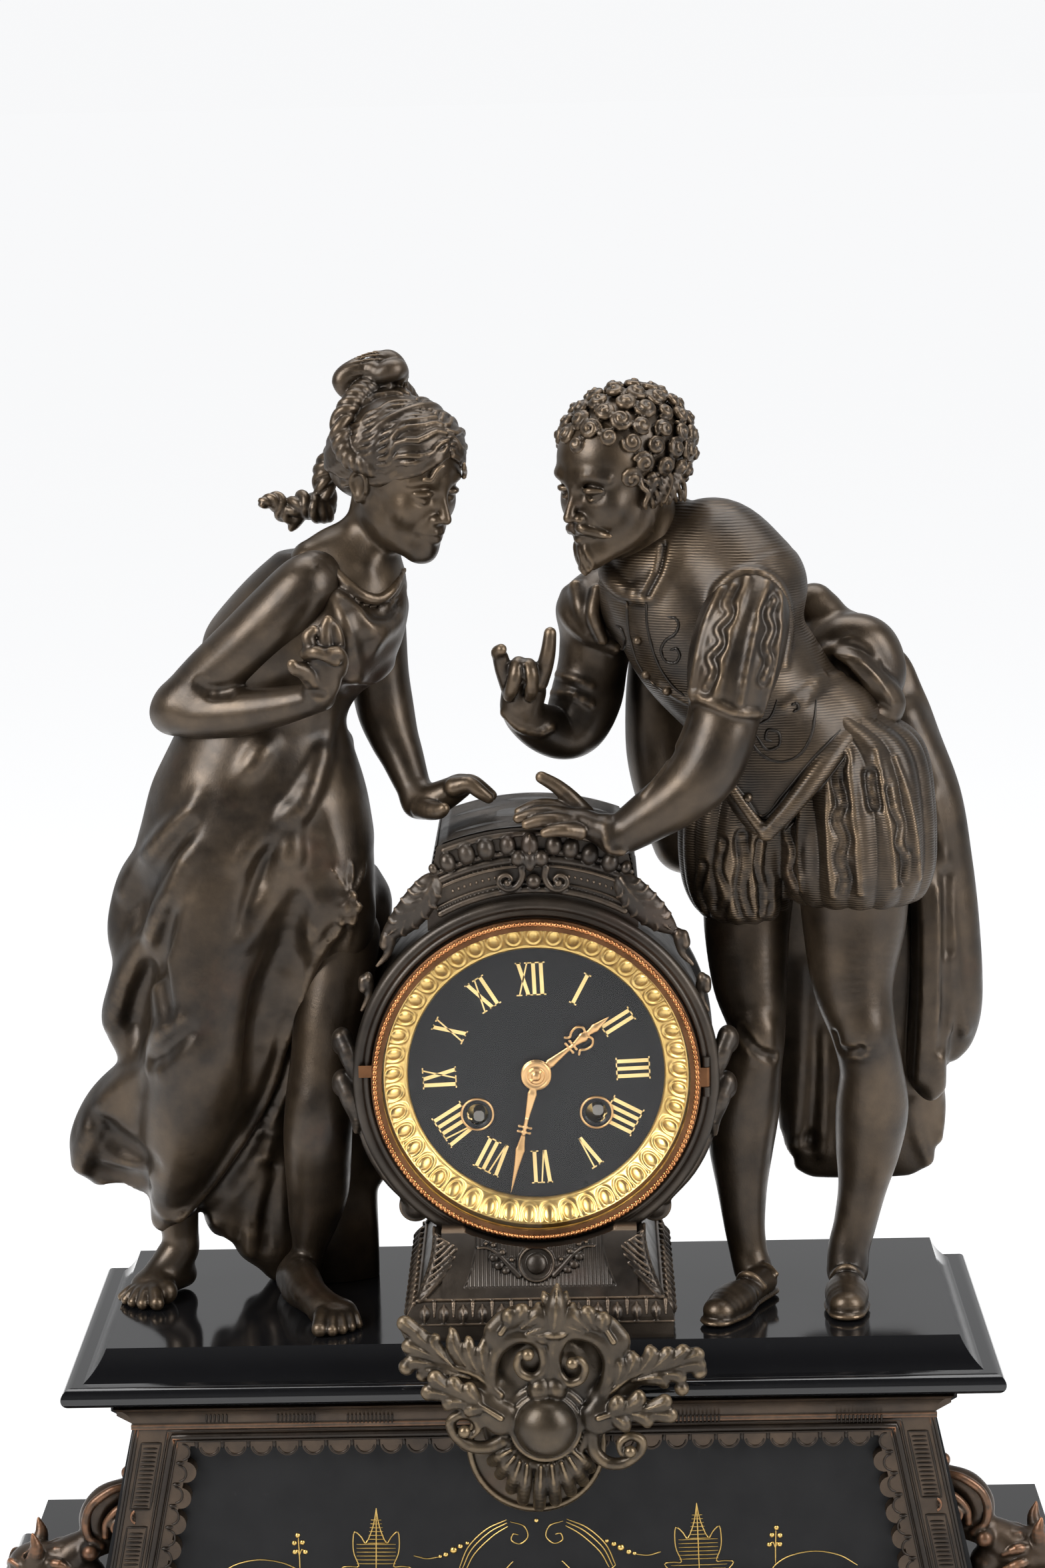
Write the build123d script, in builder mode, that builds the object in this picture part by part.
"""Figural mantel clock: a drum clock between a standing woman and man, on a slab and a flared base."""
import os
from math import atan2, cos, degrees, hypot, pi, radians, sin, sqrt, tan

from build123d import *

# Feet and plinth
FOOT_HEIGHT = 14.0
FOOT_PAD_RADIUS = 12.0
FOOT_INSET = 34.0
PLINTH_WIDTH = 480.0
PLINTH_DEPTH = 212.0
PLINTH_HEIGHT = 34.0
PLINTH_PROJECTION = 16.0
PLINTH_NOSE = 7.0

# Flared body under the slab
BODY_HEIGHT = 104.0
BODY_TOP_WIDTH = 328.0
BODY_DEPTH = 132.0
BODY_FLARE = 12.5
BODY_WALL = 9.0
CORNICE_HEIGHT = 5.0
CORNICE_PROJECTION = 9.0
PANEL_THICKNESS = 4.0
FRAME_THICKNESS = 6.0
FRAME_STILE = 18.0
FRAME_TOP_RAIL = 14.0
FRAME_BOTTOM_RAIL = 14.0
FRAME_INSET = 3.0
SCALLOP_PITCH = 10.6
SCALLOP_REACH = 9.0

# Side brackets with an animal head
BRACKET_DEPTH = 26.0
BRACKET_REACH = 34.0
BRACKET_BALL_RADIUS = 5.0
BRACKET_HEAD_RADIUS = 13.0
BRACKET_EAR_HEIGHT = 14.0
BRACKET_EAR_RADIUS = 4.0

# Moulded top slab
SLAB_WIDTH = 348.8
SLAB_DEPTH = 132.4
SLAB_HEIGHT = 20.5
SLAB_PROJECTION = 17.3
SLAB_NOSE = 4.2

# Cartouche on the front
CARTOUCHE_THICKNESS = 11.0
CARTOUCHE_DROP = 10.0
CARTOUCHE_DISC_RADIUS = 29.0
CARTOUCHE_LEAF_LENGTH = 26.0
CARTOUCHE_LEAF_WIDTH = 12.0
CARTOUCHE_VOLUTE_RADIUS = 12.0
CARTOUCHE_BOSS_RADIUS = 12.8
CARTOUCHE_BOSS_SINK = 5.0

# Tie bolts through the base
BOLT_RADIUS = 3.0
BOLT_SPACING = 50.0
BOLT_GRIP = 16.0
NUT_RADIUS = 8.0
NUT_HEIGHT = 6.0

# Pedestal and drum case
CLOCK_X = 3.5
PEDESTAL_WIDTH = 109.0
PEDESTAL_FRONT = 63.5
PEDESTAL_BACK = 54.0
PEDESTAL_PLATE = 6.5
PEDESTAL_OVOLO = 9.0
PEDESTAL_HEIGHT = 44.0
PEDESTAL_DRAW_IN = 12.0
DIAL_RISE = 104.2
DRUM_RADIUS = 75.0
DRUM_WAIST_RADIUS = 72.5
DRUM_WALL = 3.5
DRUM_FRONT = 41.0
DRUM_BACK = 38.0
RIM_WIDTH = 6.0
FLANGE_THICKNESS = 5.0
BEZEL_OPENING_RADIUS = 65.0
HOOD_RISE = 29.0
HOOD_BOTTOM_WIDTH = 86.0
HOOD_TOP_WIDTH = 74.0
HOOD_SETBACK = 1.0
LEAF_LENGTH = 38.0
LEAF_RISE = 6.0
LEAF_DEPTH = 14.0

# Bezel, glass and back door
BEZEL_RADIUS = 67.5
BEZEL_DEPTH = 5.9
BEZEL_LIP = 2.0
BEZEL_SIGHT_RADIUS = 63.2
GLASS_RADIUS = 64.4
GLASS_THICKNESS = 2.6
HINGE_RADIUS = 1.6
HINGE_PIN_RADIUS = 0.8
HINGE_OFFSET = 2.1
KNUCKLE_LENGTH = 8.0
LUG_LENGTH = 4.0
TAB_LENGTH = 5.0
TAB_WIDTH = 5.0
TAB_THICKNESS = 1.4
BACK_RING_THICKNESS = 2.5
BACK_OPENING_RADIUS = 55.0
BACK_RING_RADIUS = 73.0
DOOR_RADIUS = 57.0
DOOR_THICKNESS = 1.5
DOOR_KNOB_RADIUS = 3.0
DOOR_KNOB_LENGTH = 6.0

# Dial, sight ring and hands
DIAL_RADIUS = 56.0
DIAL_SIGHT_RADIUS = 52.8
DIAL_THICKNESS = 2.0
DIAL_DEPTH = 33.0
DIAL_FOOT_RADIUS = 2.2
DIAL_FOOT_CIRCLE = 40.0
DIAL_TURN = 2.0
SIGHT_RING_RADIUS = 64.6
SIGHT_RING_LIP = 2.0
WINDING_X = 24.6
WINDING_DROP = 17.0
COLLET_RADIUS = 6.8
COLLET_BORE = 5.2
COLLET_WALL = 0.8
HAND_THICKNESS = 1.0
HAND_GAP = 1.0
HAND_HUB_RADIUS = 6.2
HOUR_HAND_LENGTH = 38.8
MINUTE_HAND_LENGTH = 51.0
HOUR_HAND_WIDTH = 11.0
MINUTE_HAND_WIDTH = 5.6
HOUR_HAND_ANGLE = 51.9
MINUTE_HAND_ANGLE = 192.9
HAND_NUT_RADIUS = 2.6
HAND_NUT_HEIGHT = 1.4

# Movement plates and arbors
PLATE_RADIUS = 48.0
PLATE_THICKNESS = 2.5
PLATE_GAP = 30.0
MOTION_SPACE = 6.5
PILLAR_RADIUS = 3.0
ARBOR_RADIUS = 1.0
CENTRE_ARBOR_RADIUS = 1.2
BARREL_RADIUS = 15.6
BARREL_WALL = 1.2
BARREL_LENGTH = 14.0
BARREL_ARBOR_RADIUS = 3.4
WINDING_PIVOT_RADIUS = 2.4
WINDING_SQUARE = 4.4
SPRING_THICKNESS = 0.5
SPRING_TURNS = 7
SPRING_STEPS = 16
WHEEL_THICKNESS = 1.4
PINION_LENGTH = 2.4
LAYER_GAP = 1.3

# Teeth of the wheels and pinions, with their modules
GREAT_TEETH = 70
GREAT_MODULE = 0.5
GREAT_PINION_TEETH = 12
INTERMEDIATE_TEETH = 84
CENTRE_PINION_TEETH = 16
CENTRE_TEETH = 88
THIRD_PINION_TEETH = 12
THIRD_TEETH = 65
ESCAPE_PINION_TEETH = 11
TRAIN_MODULE = 0.4
CANNON_TEETH = 12
MINUTE_WHEEL_TEETH = 36
CANNON_MODULE = 0.5
MINUTE_PINION_TEETH = 10
HOUR_WHEEL_TEETH = 40
HOUR_MODULE = 0.48
PIN_WHEEL_TEETH = 45
ESCAPE_TEETH = 30
ESCAPE_RADIUS = 9.0
ESCAPE_RISE = 20.0
PALLET_RISE = 33.0
PALLET_CLEARANCE = 1.7
CANNON_TUBE_RADIUS = 1.9
HOUR_PIPE_RADIUS = 2.8
STUD_RADIUS = 0.8

# Pendulum, bell and hammer
PENDULUM_LENGTH = 70.0
PENDULUM_STANDOFF = 5.0
ROD_RADIUS = 1.0
BOB_RADIUS = 14.0
BOB_THICKNESS = 5.0
BOB_RIM = 1.0
RATING_NUT_RADIUS = 2.6
RATING_NUT_HEIGHT = 2.4
STRIP_WIDTH = 4.0
STRIP_THICKNESS = 0.4
STRIP_LENGTH = 9.0
COCK_WIDTH = 12.0
COCK_HEIGHT = 8.0
CRUTCH_LENGTH = 21.0
CRUTCH_WIDTH = 3.0
CRUTCH_THICKNESS = 1.5
FORK_GAP = 0.3
BELL_RADIUS = 28.0
BELL_DEPTH = 14.0
BELL_WALL = 2.0
BELL_X = 14.0
BELL_Z = 5.0
BELL_STANDOFF = 12.0
BELL_POST_RADIUS = 2.6
HAMMER_X = -20.0
HAMMER_Z = 31.0
HAMMER_HEAD_RADIUS = 3.2
HAMMER_HEAD_LENGTH = 8.0
COUNT_WHEEL_RADIUS = 10.0
COUNT_NOTCHES = 12

# Straps that hold the movement in the drum
STRAP_WIDTH = 9.0
STRAP_THICKNESS = 2.0
STRAP_CIRCLE = 62.0
STRAP_SCREW_RADIUS = 1.6
SCREW_HEAD_RADIUS = 3.4
SCREW_HEAD_HEIGHT = 2.0

# Figures
WOMAN_X = -105.0
WOMAN_HEIGHT = 397.0
MAN_X = 110.0
MAN_HEIGHT = 387.0

# Fits
RUNNING = 0.06
SEAT = 0.3
FACE = 0.1
HINGE_FACE = 0.18
OVERRUN = 5.0
JOINT_SHARE = 1.06

# Levels worked out from the sizes
PLINTH_Z = FOOT_HEIGHT
BODY_Z = PLINTH_Z + PLINTH_HEIGHT
SLAB_Z = BODY_Z + BODY_HEIGHT
TOP_Z = SLAB_Z + SLAB_HEIGHT
DIAL_Z = TOP_Z + DIAL_RISE
HOOD_RADIUS = DRUM_RADIUS + HOOD_RISE
BODY_FRONT_Y = -BODY_DEPTH / 2
FRAME_BACK_Y = BODY_FRONT_Y - PANEL_THICKNESS
FRAME_FRONT_Y = FRAME_BACK_Y - FRAME_THICKNESS
SLAB_FRONT_Y = -SLAB_DEPTH / 2 - SLAB_PROJECTION
DIAL_FACE_Y = -DIAL_DEPTH
DIAL_BACK_Y = DIAL_FACE_Y + DIAL_THICKNESS
PLATE_FRONT_Y = DIAL_BACK_Y + MOTION_SPACE
PLATE_INNER_Y = PLATE_FRONT_Y + PLATE_THICKNESS
BACK_INNER_Y = PLATE_INNER_Y + PLATE_GAP
BACK_OUTER_Y = BACK_INNER_Y + PLATE_THICKNESS
PENDULUM_Y = BACK_OUTER_Y + PENDULUM_STANDOFF
RING_BACK_Y = DRUM_BACK + BACK_RING_THICKNESS
BEZEL_BACK_Y = -DRUM_FRONT - FACE
BEZEL_FRONT_Y = BEZEL_BACK_Y - BEZEL_DEPTH


def front(y, x=0, z=0):
    """Plane at depth y that faces the viewer, with its origin x, z away from the dial's centre."""
    return Plane(origin=(CLOCK_X + x, y, DIAL_Z + z), x_dir=(1, 0, 0), z_dir=(0, -1, 0))


def hand_plane(y, angle):
    """Plane facing the viewer whose up direction is turned clockwise by angle degrees."""
    turn = radians(angle)
    return Plane(origin=(CLOCK_X, y, DIAL_Z), x_dir=(cos(turn), 0, -sin(turn)), z_dir=(0, -1, 0))


def turned(x, z):
    """Place on the dial, turned with the dial."""
    turn = radians(DIAL_TURN)
    return (x * cos(turn) - z * sin(turn), x * sin(turn) + z * cos(turn))


def meet(a, radius_a, b, radius_b, side):
    """Point at the two given distances from a and b, on the given side of the line between them."""
    span = hypot(b[0] - a[0], b[1] - a[1])
    along = (radius_a**2 - radius_b**2 + span**2) / (2 * span)
    off = side * sqrt(radius_a**2 - along**2)
    ux = (b[0] - a[0]) / span
    uz = (b[1] - a[1]) / span
    return (a[0] + along * ux - off * uz, a[1] + along * uz + off * ux)


def pitch_radius(teeth, module):
    return teeth * module / 2


def mesh_phase(phase, teeth, other_teeth, a, b):
    """Phase of the wheel at b that meshes with the wheel at a."""
    line = atan2(b[1] - a[1], b[0] - a[0])
    place = (line - phase) * teeth / (2 * pi)
    return line + pi - 2 * pi / other_teeth * (1 / 2 - place)


def tooth_points(teeth, module, phase, addendum_share, tip_share):
    """Outline of a wheel: straight flanks, with narrow tips and deep roots for running clearance."""
    radius = pitch_radius(teeth, module)
    tip = radius + addendum_share * module
    root = radius - ROOT_SHARE * module
    step = 2 * pi / teeth
    points = []
    for tooth in range(teeth):
        middle = phase + tooth * step
        for share, reach in (
            (-TOOTH_SHARE, root),
            (-TOOTH_SHARE, radius),
            (-tip_share, tip),
            (tip_share, tip),
            (TOOTH_SHARE, radius),
            (TOOTH_SHARE, root),
        ):
            angle = middle + share * step
            points.append((reach * cos(angle), reach * sin(angle)))
    return points


# Shares of the tooth pitch and module used by every wheel and pinion
TOOTH_SHARE = 0.2
ROOT_SHARE = 1.3
WHEEL_ADDENDUM_SHARE = 0.85
WHEEL_TIP_SHARE = 0.08
PINION_ADDENDUM_SHARE = 0.45
PINION_TIP_SHARE = 0.14


def wheel(y, place, teeth, module, phase, thickness):
    """Toothed wheel whose front face is at depth y."""
    points = tooth_points(teeth, module, phase, WHEEL_ADDENDUM_SHARE, WHEEL_TIP_SHARE)
    with BuildSketch(front(y + thickness, *place)) as outline:
        Polygon(*points, align=None)
    extrude(outline.sketch, amount=thickness)


def pinion(y, place, teeth, module, phase, length):
    """Pinion whose front face is at depth y."""
    points = tooth_points(teeth, module, phase, PINION_ADDENDUM_SHARE, PINION_TIP_SHARE)
    with BuildSketch(front(y + length, *place)) as outline:
        Polygon(*points, align=None)
    extrude(outline.sketch, amount=length)


def rod(y_front, y_back, place, radius, mode=Mode.ADD):
    """Round rod along the depth direction."""
    with BuildSketch(front(y_back, *place)) as outline:
        Circle(radius)
    extrude(outline.sketch, amount=y_back - y_front, mode=mode)


def export(block, name):
    block.part.label = name
    export_step(block.part, f"parts/{name}.step")


os.makedirs("parts", exist_ok=True)

# Feet under the plinth
FOOT_BULGE_SHARE = 0.4
with BuildPart() as feet:
    with BuildSketch(Plane.XZ) as foot_profile:
        with BuildLine():
            Polyline((0, FOOT_HEIGHT), (0, 0), (FOOT_PAD_RADIUS, 0))
            ThreePointArc(
                (FOOT_PAD_RADIUS, 0),
                (FOOT_PAD_RADIUS + FOOT_BULGE_SHARE * FOOT_HEIGHT, FOOT_HEIGHT / 2),
                (FOOT_PAD_RADIUS, FOOT_HEIGHT),
            )
            Line((FOOT_PAD_RADIUS, FOOT_HEIGHT), (0, FOOT_HEIGHT))
        make_face()
    foot = revolve(axis=Axis.Z, mode=Mode.PRIVATE)
    with GridLocations(PLINTH_WIDTH - 2 * FOOT_INSET, PLINTH_DEPTH - 2 * FOOT_INSET, 2, 2):
        add(foot)
export(feet, "feet")


def moulded_outline(half_width, height, projection, nose):
    """Half section of a moulded edge: a nose at the bottom, a fillet and a cove up to the top."""
    reach = half_width + projection - nose
    fillet_reach = half_width + projection - 2 * nose
    with BuildLine() as outline:
        Line((0, 0), (reach, 0))
        ThreePointArc((reach, 0), (reach + nose, nose), (reach, 2 * nose))
        Line((reach, 2 * nose), (fillet_reach, 2 * nose))
        RadiusArc((fillet_reach, 2 * nose), (half_width, height), height - 2 * nose + projection)
        Line((half_width, height), (0, height))
        mirror(about=Plane.YZ)
    make_face(outline.edges())


def moulded_slab(z, width, depth, height, projection, nose):
    """Slab with the moulded edge on all four sides, mitred at the corners."""
    with BuildSketch(Plane.XZ) as front_section:
        moulded_outline(width / 2, height, projection, nose)
    with BuildSketch(Plane.YZ) as side_section:
        moulded_outline(depth / 2, height, projection, nose)
    level = Location((0, 0, z))
    extrude(front_section.sketch.moved(level), amount=depth / 2 + projection, both=True)
    extrude(side_section.sketch.moved(level), amount=width / 2 + projection, both=True, mode=Mode.INTERSECT)


def bolt_holes(z_low, z_high, radius):
    """Cut the two tie bolt holes between two heights."""
    for side in (-1, 1):
        with BuildSketch(Plane.XY.offset(z_low)) as hole:
            with Locations((CLOCK_X + side * BOLT_SPACING / 2, 0)):
                Circle(radius)
        extrude(hole.sketch, amount=z_high - z_low, mode=Mode.SUBTRACT)


# Plinth
with BuildPart() as plinth:
    moulded_slab(
        PLINTH_Z,
        PLINTH_WIDTH - 2 * PLINTH_PROJECTION,
        PLINTH_DEPTH - 2 * PLINTH_PROJECTION,
        PLINTH_HEIGHT,
        PLINTH_PROJECTION,
        PLINTH_NOSE,
    )
    bolt_holes(PLINTH_Z, BODY_Z, BOLT_RADIUS + SEAT)
export(plinth, "plinth")

# Flared body with its cornice
FLARE_RUN = (BODY_HEIGHT - 2 * CORNICE_HEIGHT) * tan(radians(BODY_FLARE))
BODY_HALF = BODY_TOP_WIDTH / 2


def flared_half_width(drop):
    """Half width of the body this far under the slab."""
    run = max(drop - 2 * CORNICE_HEIGHT, 0) * tan(radians(BODY_FLARE))
    return BODY_HALF + run


def flared_points(inset):
    """Front outline of the flared body, moved in by inset on the sides."""
    half = BODY_HALF - inset
    right = [
        (half + FLARE_RUN, BODY_Z),
        (half, SLAB_Z - 2 * CORNICE_HEIGHT),
        (half + CORNICE_PROJECTION, SLAB_Z - CORNICE_HEIGHT),
        (half + CORNICE_PROJECTION, SLAB_Z),
    ]
    left = [(-x, z) for x, z in reversed(right)]
    return right + left


with BuildPart() as base_body:
    with BuildSketch(Plane.XZ) as body_front:
        Polygon(*flared_points(0), align=None)
    extrude(amount=BODY_DEPTH / 2, both=True)
    with BuildSketch(Plane.XZ) as body_hollow:
        Polygon(
            (BODY_HALF + FLARE_RUN - BODY_WALL, BODY_Z),
            (BODY_HALF - BODY_WALL, SLAB_Z - 2 * CORNICE_HEIGHT),
            (BODY_HALF - BODY_WALL, SLAB_Z),
            (-BODY_HALF + BODY_WALL, SLAB_Z),
            (-BODY_HALF + BODY_WALL, SLAB_Z - 2 * CORNICE_HEIGHT),
            (-BODY_HALF - FLARE_RUN + BODY_WALL, BODY_Z),
            align=None,
        )
    extrude(amount=BODY_DEPTH / 2 - BODY_WALL, both=True, mode=Mode.SUBTRACT)
export(base_body, "base_body")

# Black front panel behind the frame
with BuildPart() as front_panel:
    with BuildSketch(Plane.XZ.offset(-BODY_FRONT_Y)):
        Polygon(*flared_points(0), align=None)
    extrude(amount=PANEL_THICKNESS)
export(front_panel, "front_panel")

# Bronze front frame with a scalloped inner edge
OPEN_TOP_Z = SLAB_Z - FRAME_TOP_RAIL - SCALLOP_REACH / 2
OPEN_LOW_Z = BODY_Z + FRAME_BOTTOM_RAIL + SCALLOP_REACH / 2


def opening_half_width(z):
    return flared_half_width(SLAB_Z - z) - FRAME_INSET - FRAME_STILE - SCALLOP_REACH / 2


with BuildPart() as front_frame:
    with BuildSketch(Plane.XZ.offset(-FRAME_BACK_Y)) as frame_face:
        Polygon(*flared_points(FRAME_INSET), align=None)
        Polygon(
            (opening_half_width(OPEN_LOW_Z), OPEN_LOW_Z),
            (opening_half_width(OPEN_TOP_Z), OPEN_TOP_Z),
            (-opening_half_width(OPEN_TOP_Z), OPEN_TOP_Z),
            (-opening_half_width(OPEN_LOW_Z), OPEN_LOW_Z),
            align=None,
            mode=Mode.SUBTRACT,
        )
        for edge_z in (OPEN_TOP_Z, OPEN_LOW_Z):
            count = int(2 * opening_half_width(edge_z) / SCALLOP_PITCH)
            with GridLocations(SCALLOP_PITCH, SCALLOP_PITCH, count, 1) as places:
                spots = [(spot.position.X, edge_z) for spot in places.locations]
            with Locations(*spots):
                Circle(SCALLOP_REACH / 2)
        rows = int((OPEN_TOP_Z - OPEN_LOW_Z) / SCALLOP_PITCH)
        for row in range(1, rows):
            row_z = OPEN_LOW_Z + (OPEN_TOP_Z - OPEN_LOW_Z) * row / rows
            with Locations((opening_half_width(row_z), row_z), (-opening_half_width(row_z), row_z)):
                Circle(SCALLOP_REACH / 2)
    extrude(amount=FRAME_THICKNESS)
export(front_frame, "front_frame")

# Top slab
with BuildPart() as top_slab:
    moulded_slab(SLAB_Z, SLAB_WIDTH, SLAB_DEPTH, SLAB_HEIGHT, SLAB_PROJECTION, SLAB_NOSE)
    bolt_holes(SLAB_Z, TOP_Z, BOLT_RADIUS + SEAT)
export(top_slab, "top_slab")


def limb(points, radii):
    """Smooth round limb through the points."""
    span = Vector(*points[-1]) - Vector(*points[0])
    axes = (Vector(1, 0, 0), Vector(0, 1, 0), Vector(0, 0, 1))
    side_axis = min(axes, key=lambda axis: abs(axis.dot(span)))
    sections = []
    for number, (point, radius) in enumerate(zip(points, radii)):
        before = Vector(*points[max(number - 1, 0)])
        after = Vector(*points[min(number + 1, len(points) - 1)])
        along = (after - before).normalized()
        across = side_axis - along * side_axis.dot(along)
        with BuildSketch(Plane(origin=point, x_dir=across, z_dir=along)) as section:
            Circle(radius)
        sections.append(section.sketch)
    loft(sections)


def ball(point, radius):
    with Locations(point):
        Sphere(radius)


# Side brackets: a ball, a scroll and an animal head at each front corner of the body
BRACKET_Y = BODY_FRONT_Y + BRACKET_DEPTH / 2
NECK_TOP_SHARE = 0.34
NECK_LOW_SHARE = 0.62
HEAD_DROP_SHARE = 0.8
body_cutter = Part() + extrude(body_front.sketch, amount=BODY_DEPTH, both=True)
with BuildPart() as side_brackets:
    for side in (-1, 1):
        neck_top_z = SLAB_Z - NECK_TOP_SHARE * BODY_HEIGHT
        neck_low_z = SLAB_Z - NECK_LOW_SHARE * BODY_HEIGHT
        head_z = SLAB_Z - HEAD_DROP_SHARE * BODY_HEIGHT
        head_x = side * (BODY_HALF + FLARE_RUN + BRACKET_REACH - BRACKET_HEAD_RADIUS)
        neck_low_x = side * (flared_half_width(SLAB_Z - neck_low_z) + BRACKET_BALL_RADIUS)
        ear_top_z = head_z + BRACKET_HEAD_RADIUS + BRACKET_EAR_HEIGHT
        limb(
            [
                (side * flared_half_width(SLAB_Z - neck_top_z), BRACKET_Y, neck_top_z),
                (neck_low_x, BRACKET_Y, neck_low_z),
                (head_x, BRACKET_Y, head_z),
            ],
            [BRACKET_BALL_RADIUS, BRACKET_DEPTH / 2, BRACKET_HEAD_RADIUS],
        )
        ball((head_x, BRACKET_Y, head_z), BRACKET_HEAD_RADIUS)
        ball((side * flared_half_width(SLAB_Z - neck_top_z), BRACKET_Y, neck_top_z), BRACKET_BALL_RADIUS)
        for ear in (-1, 1):
            ear_y = BRACKET_Y + ear * BRACKET_HEAD_RADIUS / 2
            limb(
                [(head_x, ear_y, head_z), (head_x, ear_y, ear_top_z)],
                [BRACKET_EAR_RADIUS, BRACKET_EAR_RADIUS / 4],
            )
    add(body_cutter, mode=Mode.SUBTRACT)
export(side_brackets, "side_brackets")

# Cartouche: leaves, volutes and a boss on a round plate, standing clear of the slab's edge
CARTOUCHE_BACK_Y = SLAB_FRONT_Y - SEAT
CARTOUCHE_LEAF_TILT = 25
CARTOUCHE_LEAF_SHARES = ((1.15, 0.35, 1), (1.15, -0.55, -1))
VOLUTE_PLACE_SHARE = 0.7
with BuildPart() as cartouche:
    cartouche_plane = Plane(
        origin=(CLOCK_X, CARTOUCHE_BACK_Y, SLAB_Z - CARTOUCHE_DROP), x_dir=(1, 0, 0), z_dir=(0, -1, 0)
    )
    with BuildSketch(cartouche_plane):
        Circle(CARTOUCHE_DISC_RADIUS)
        for side in (-1, 1):
            for x_share, z_share, lift in CARTOUCHE_LEAF_SHARES:
                spot = (side * x_share * CARTOUCHE_DISC_RADIUS, z_share * CARTOUCHE_DISC_RADIUS)
                with Locations(Location((*spot, 0), (0, 0, side * lift * CARTOUCHE_LEAF_TILT))):
                    Ellipse(CARTOUCHE_LEAF_LENGTH, CARTOUCHE_LEAF_WIDTH)
            with Locations((side * CARTOUCHE_DISC_RADIUS * VOLUTE_PLACE_SHARE, CARTOUCHE_DISC_RADIUS)):
                Circle(CARTOUCHE_VOLUTE_RADIUS)
        with Locations((0, CARTOUCHE_DISC_RADIUS + CARTOUCHE_VOLUTE_RADIUS)):
            Ellipse(CARTOUCHE_VOLUTE_RADIUS, CARTOUCHE_VOLUTE_RADIUS + CARTOUCHE_LEAF_WIDTH / 2)
    extrude(amount=CARTOUCHE_THICKNESS)
    boss_y = CARTOUCHE_BACK_Y - CARTOUCHE_THICKNESS + CARTOUCHE_BOSS_SINK
    with Locations((CLOCK_X, boss_y, SLAB_Z - CARTOUCHE_DROP)):
        Sphere(CARTOUCHE_BOSS_RADIUS)
    with BuildSketch(Plane.XZ.offset(-FRAME_FRONT_Y)):
        with Locations((CLOCK_X, SLAB_Z - CARTOUCHE_DROP)):
            Circle(CARTOUCHE_DISC_RADIUS)
        with Locations((CLOCK_X, SLAB_Z - SEAT)):
            Rectangle(
                2 * CARTOUCHE_DISC_RADIUS,
                2 * CARTOUCHE_DISC_RADIUS,
                align=(Align.CENTER, Align.MIN),
                mode=Mode.SUBTRACT,
            )
    extrude(amount=FRAME_FRONT_Y - CARTOUCHE_BACK_Y + FACE)
export(cartouche, "cartouche")

# Pedestal under the drum, with concave sides and a saddle for the drum
PEDESTAL_DEPTH = PEDESTAL_FRONT + PEDESTAL_BACK
PEDESTAL_MID_Y = (PEDESTAL_BACK - PEDESTAL_FRONT) / 2


def pedestal_outline(half):
    """Half section of the pedestal: base plate, ovolo and a concave side."""
    shoulder = PEDESTAL_PLATE + PEDESTAL_OVOLO
    with BuildLine() as outline:
        Polyline((0, 0), (half, 0), (half, PEDESTAL_PLATE))
        RadiusArc((half, PEDESTAL_PLATE), (half - PEDESTAL_OVOLO / 2, shoulder), -PEDESTAL_OVOLO)
        RadiusArc(
            (half - PEDESTAL_OVOLO / 2, shoulder),
            (half - PEDESTAL_DRAW_IN, PEDESTAL_HEIGHT),
            PEDESTAL_HEIGHT,
        )
        Line((half - PEDESTAL_DRAW_IN, PEDESTAL_HEIGHT), (0, PEDESTAL_HEIGHT))
        mirror(about=Plane.YZ)
    make_face(outline.edges())


with BuildPart() as pedestal:
    with BuildSketch(Plane.XZ) as pedestal_front:
        pedestal_outline(PEDESTAL_WIDTH / 2)
    with BuildSketch(Plane.YZ) as pedestal_side:
        pedestal_outline(PEDESTAL_DEPTH / 2)
    seat = Location((CLOCK_X, PEDESTAL_MID_Y, TOP_Z))
    extrude(pedestal_front.sketch.moved(seat), amount=PEDESTAL_DEPTH / 2, both=True)
    extrude(pedestal_side.sketch.moved(seat), amount=PEDESTAL_WIDTH / 2, both=True, mode=Mode.INTERSECT)
    rod(-PEDESTAL_FRONT, PEDESTAL_BACK, (0, 0), DRUM_RADIUS, mode=Mode.SUBTRACT)
    bolt_holes(TOP_Z, TOP_Z + BOLT_GRIP, BOLT_RADIUS)
export(pedestal, "pedestal")

# Tie bolts from the pedestal to under the plinth, each with its nut
with BuildPart() as tie_bolts:
    for side in (-1, 1):
        bolt_x = CLOCK_X + side * BOLT_SPACING / 2
        with BuildSketch(Plane.XY.offset(PLINTH_Z - NUT_HEIGHT)) as shank:
            with Locations((bolt_x, 0)):
                Circle(BOLT_RADIUS)
        extrude(shank.sketch, amount=TOP_Z + BOLT_GRIP - PLINTH_Z + NUT_HEIGHT)
        with BuildSketch(Plane.XY.offset(PLINTH_Z - NUT_HEIGHT)) as nut:
            with Locations((bolt_x, 0)):
                RegularPolygon(NUT_RADIUS, 6)
        extrude(nut.sketch, amount=NUT_HEIGHT)
export(tie_bolts, "tie_bolts")

# Drum case: a turned shell with a front flange and rims, and the bezel's hinge lugs
AXIS_PLANE = Plane(origin=(CLOCK_X, 0, DIAL_Z), x_dir=(0, 1, 0), z_dir=(1, 0, 0))
DRUM_AXIS = Axis((CLOCK_X, 0, DIAL_Z), (0, 1, 0))
DRUM_BORE = DRUM_WAIST_RADIUS - DRUM_WALL
HINGE_X = BEZEL_RADIUS + HINGE_OFFSET
HINGE_Y = -DRUM_FRONT - HINGE_RADIUS - HINGE_FACE


def turned_solid(points):
    """Solid of revolution about the drum's axis, from points of depth and radius."""
    with BuildSketch(AXIS_PLANE) as section:
        Polygon(*points, align=None)
    revolve(section.sketch, axis=DRUM_AXIS)


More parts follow.
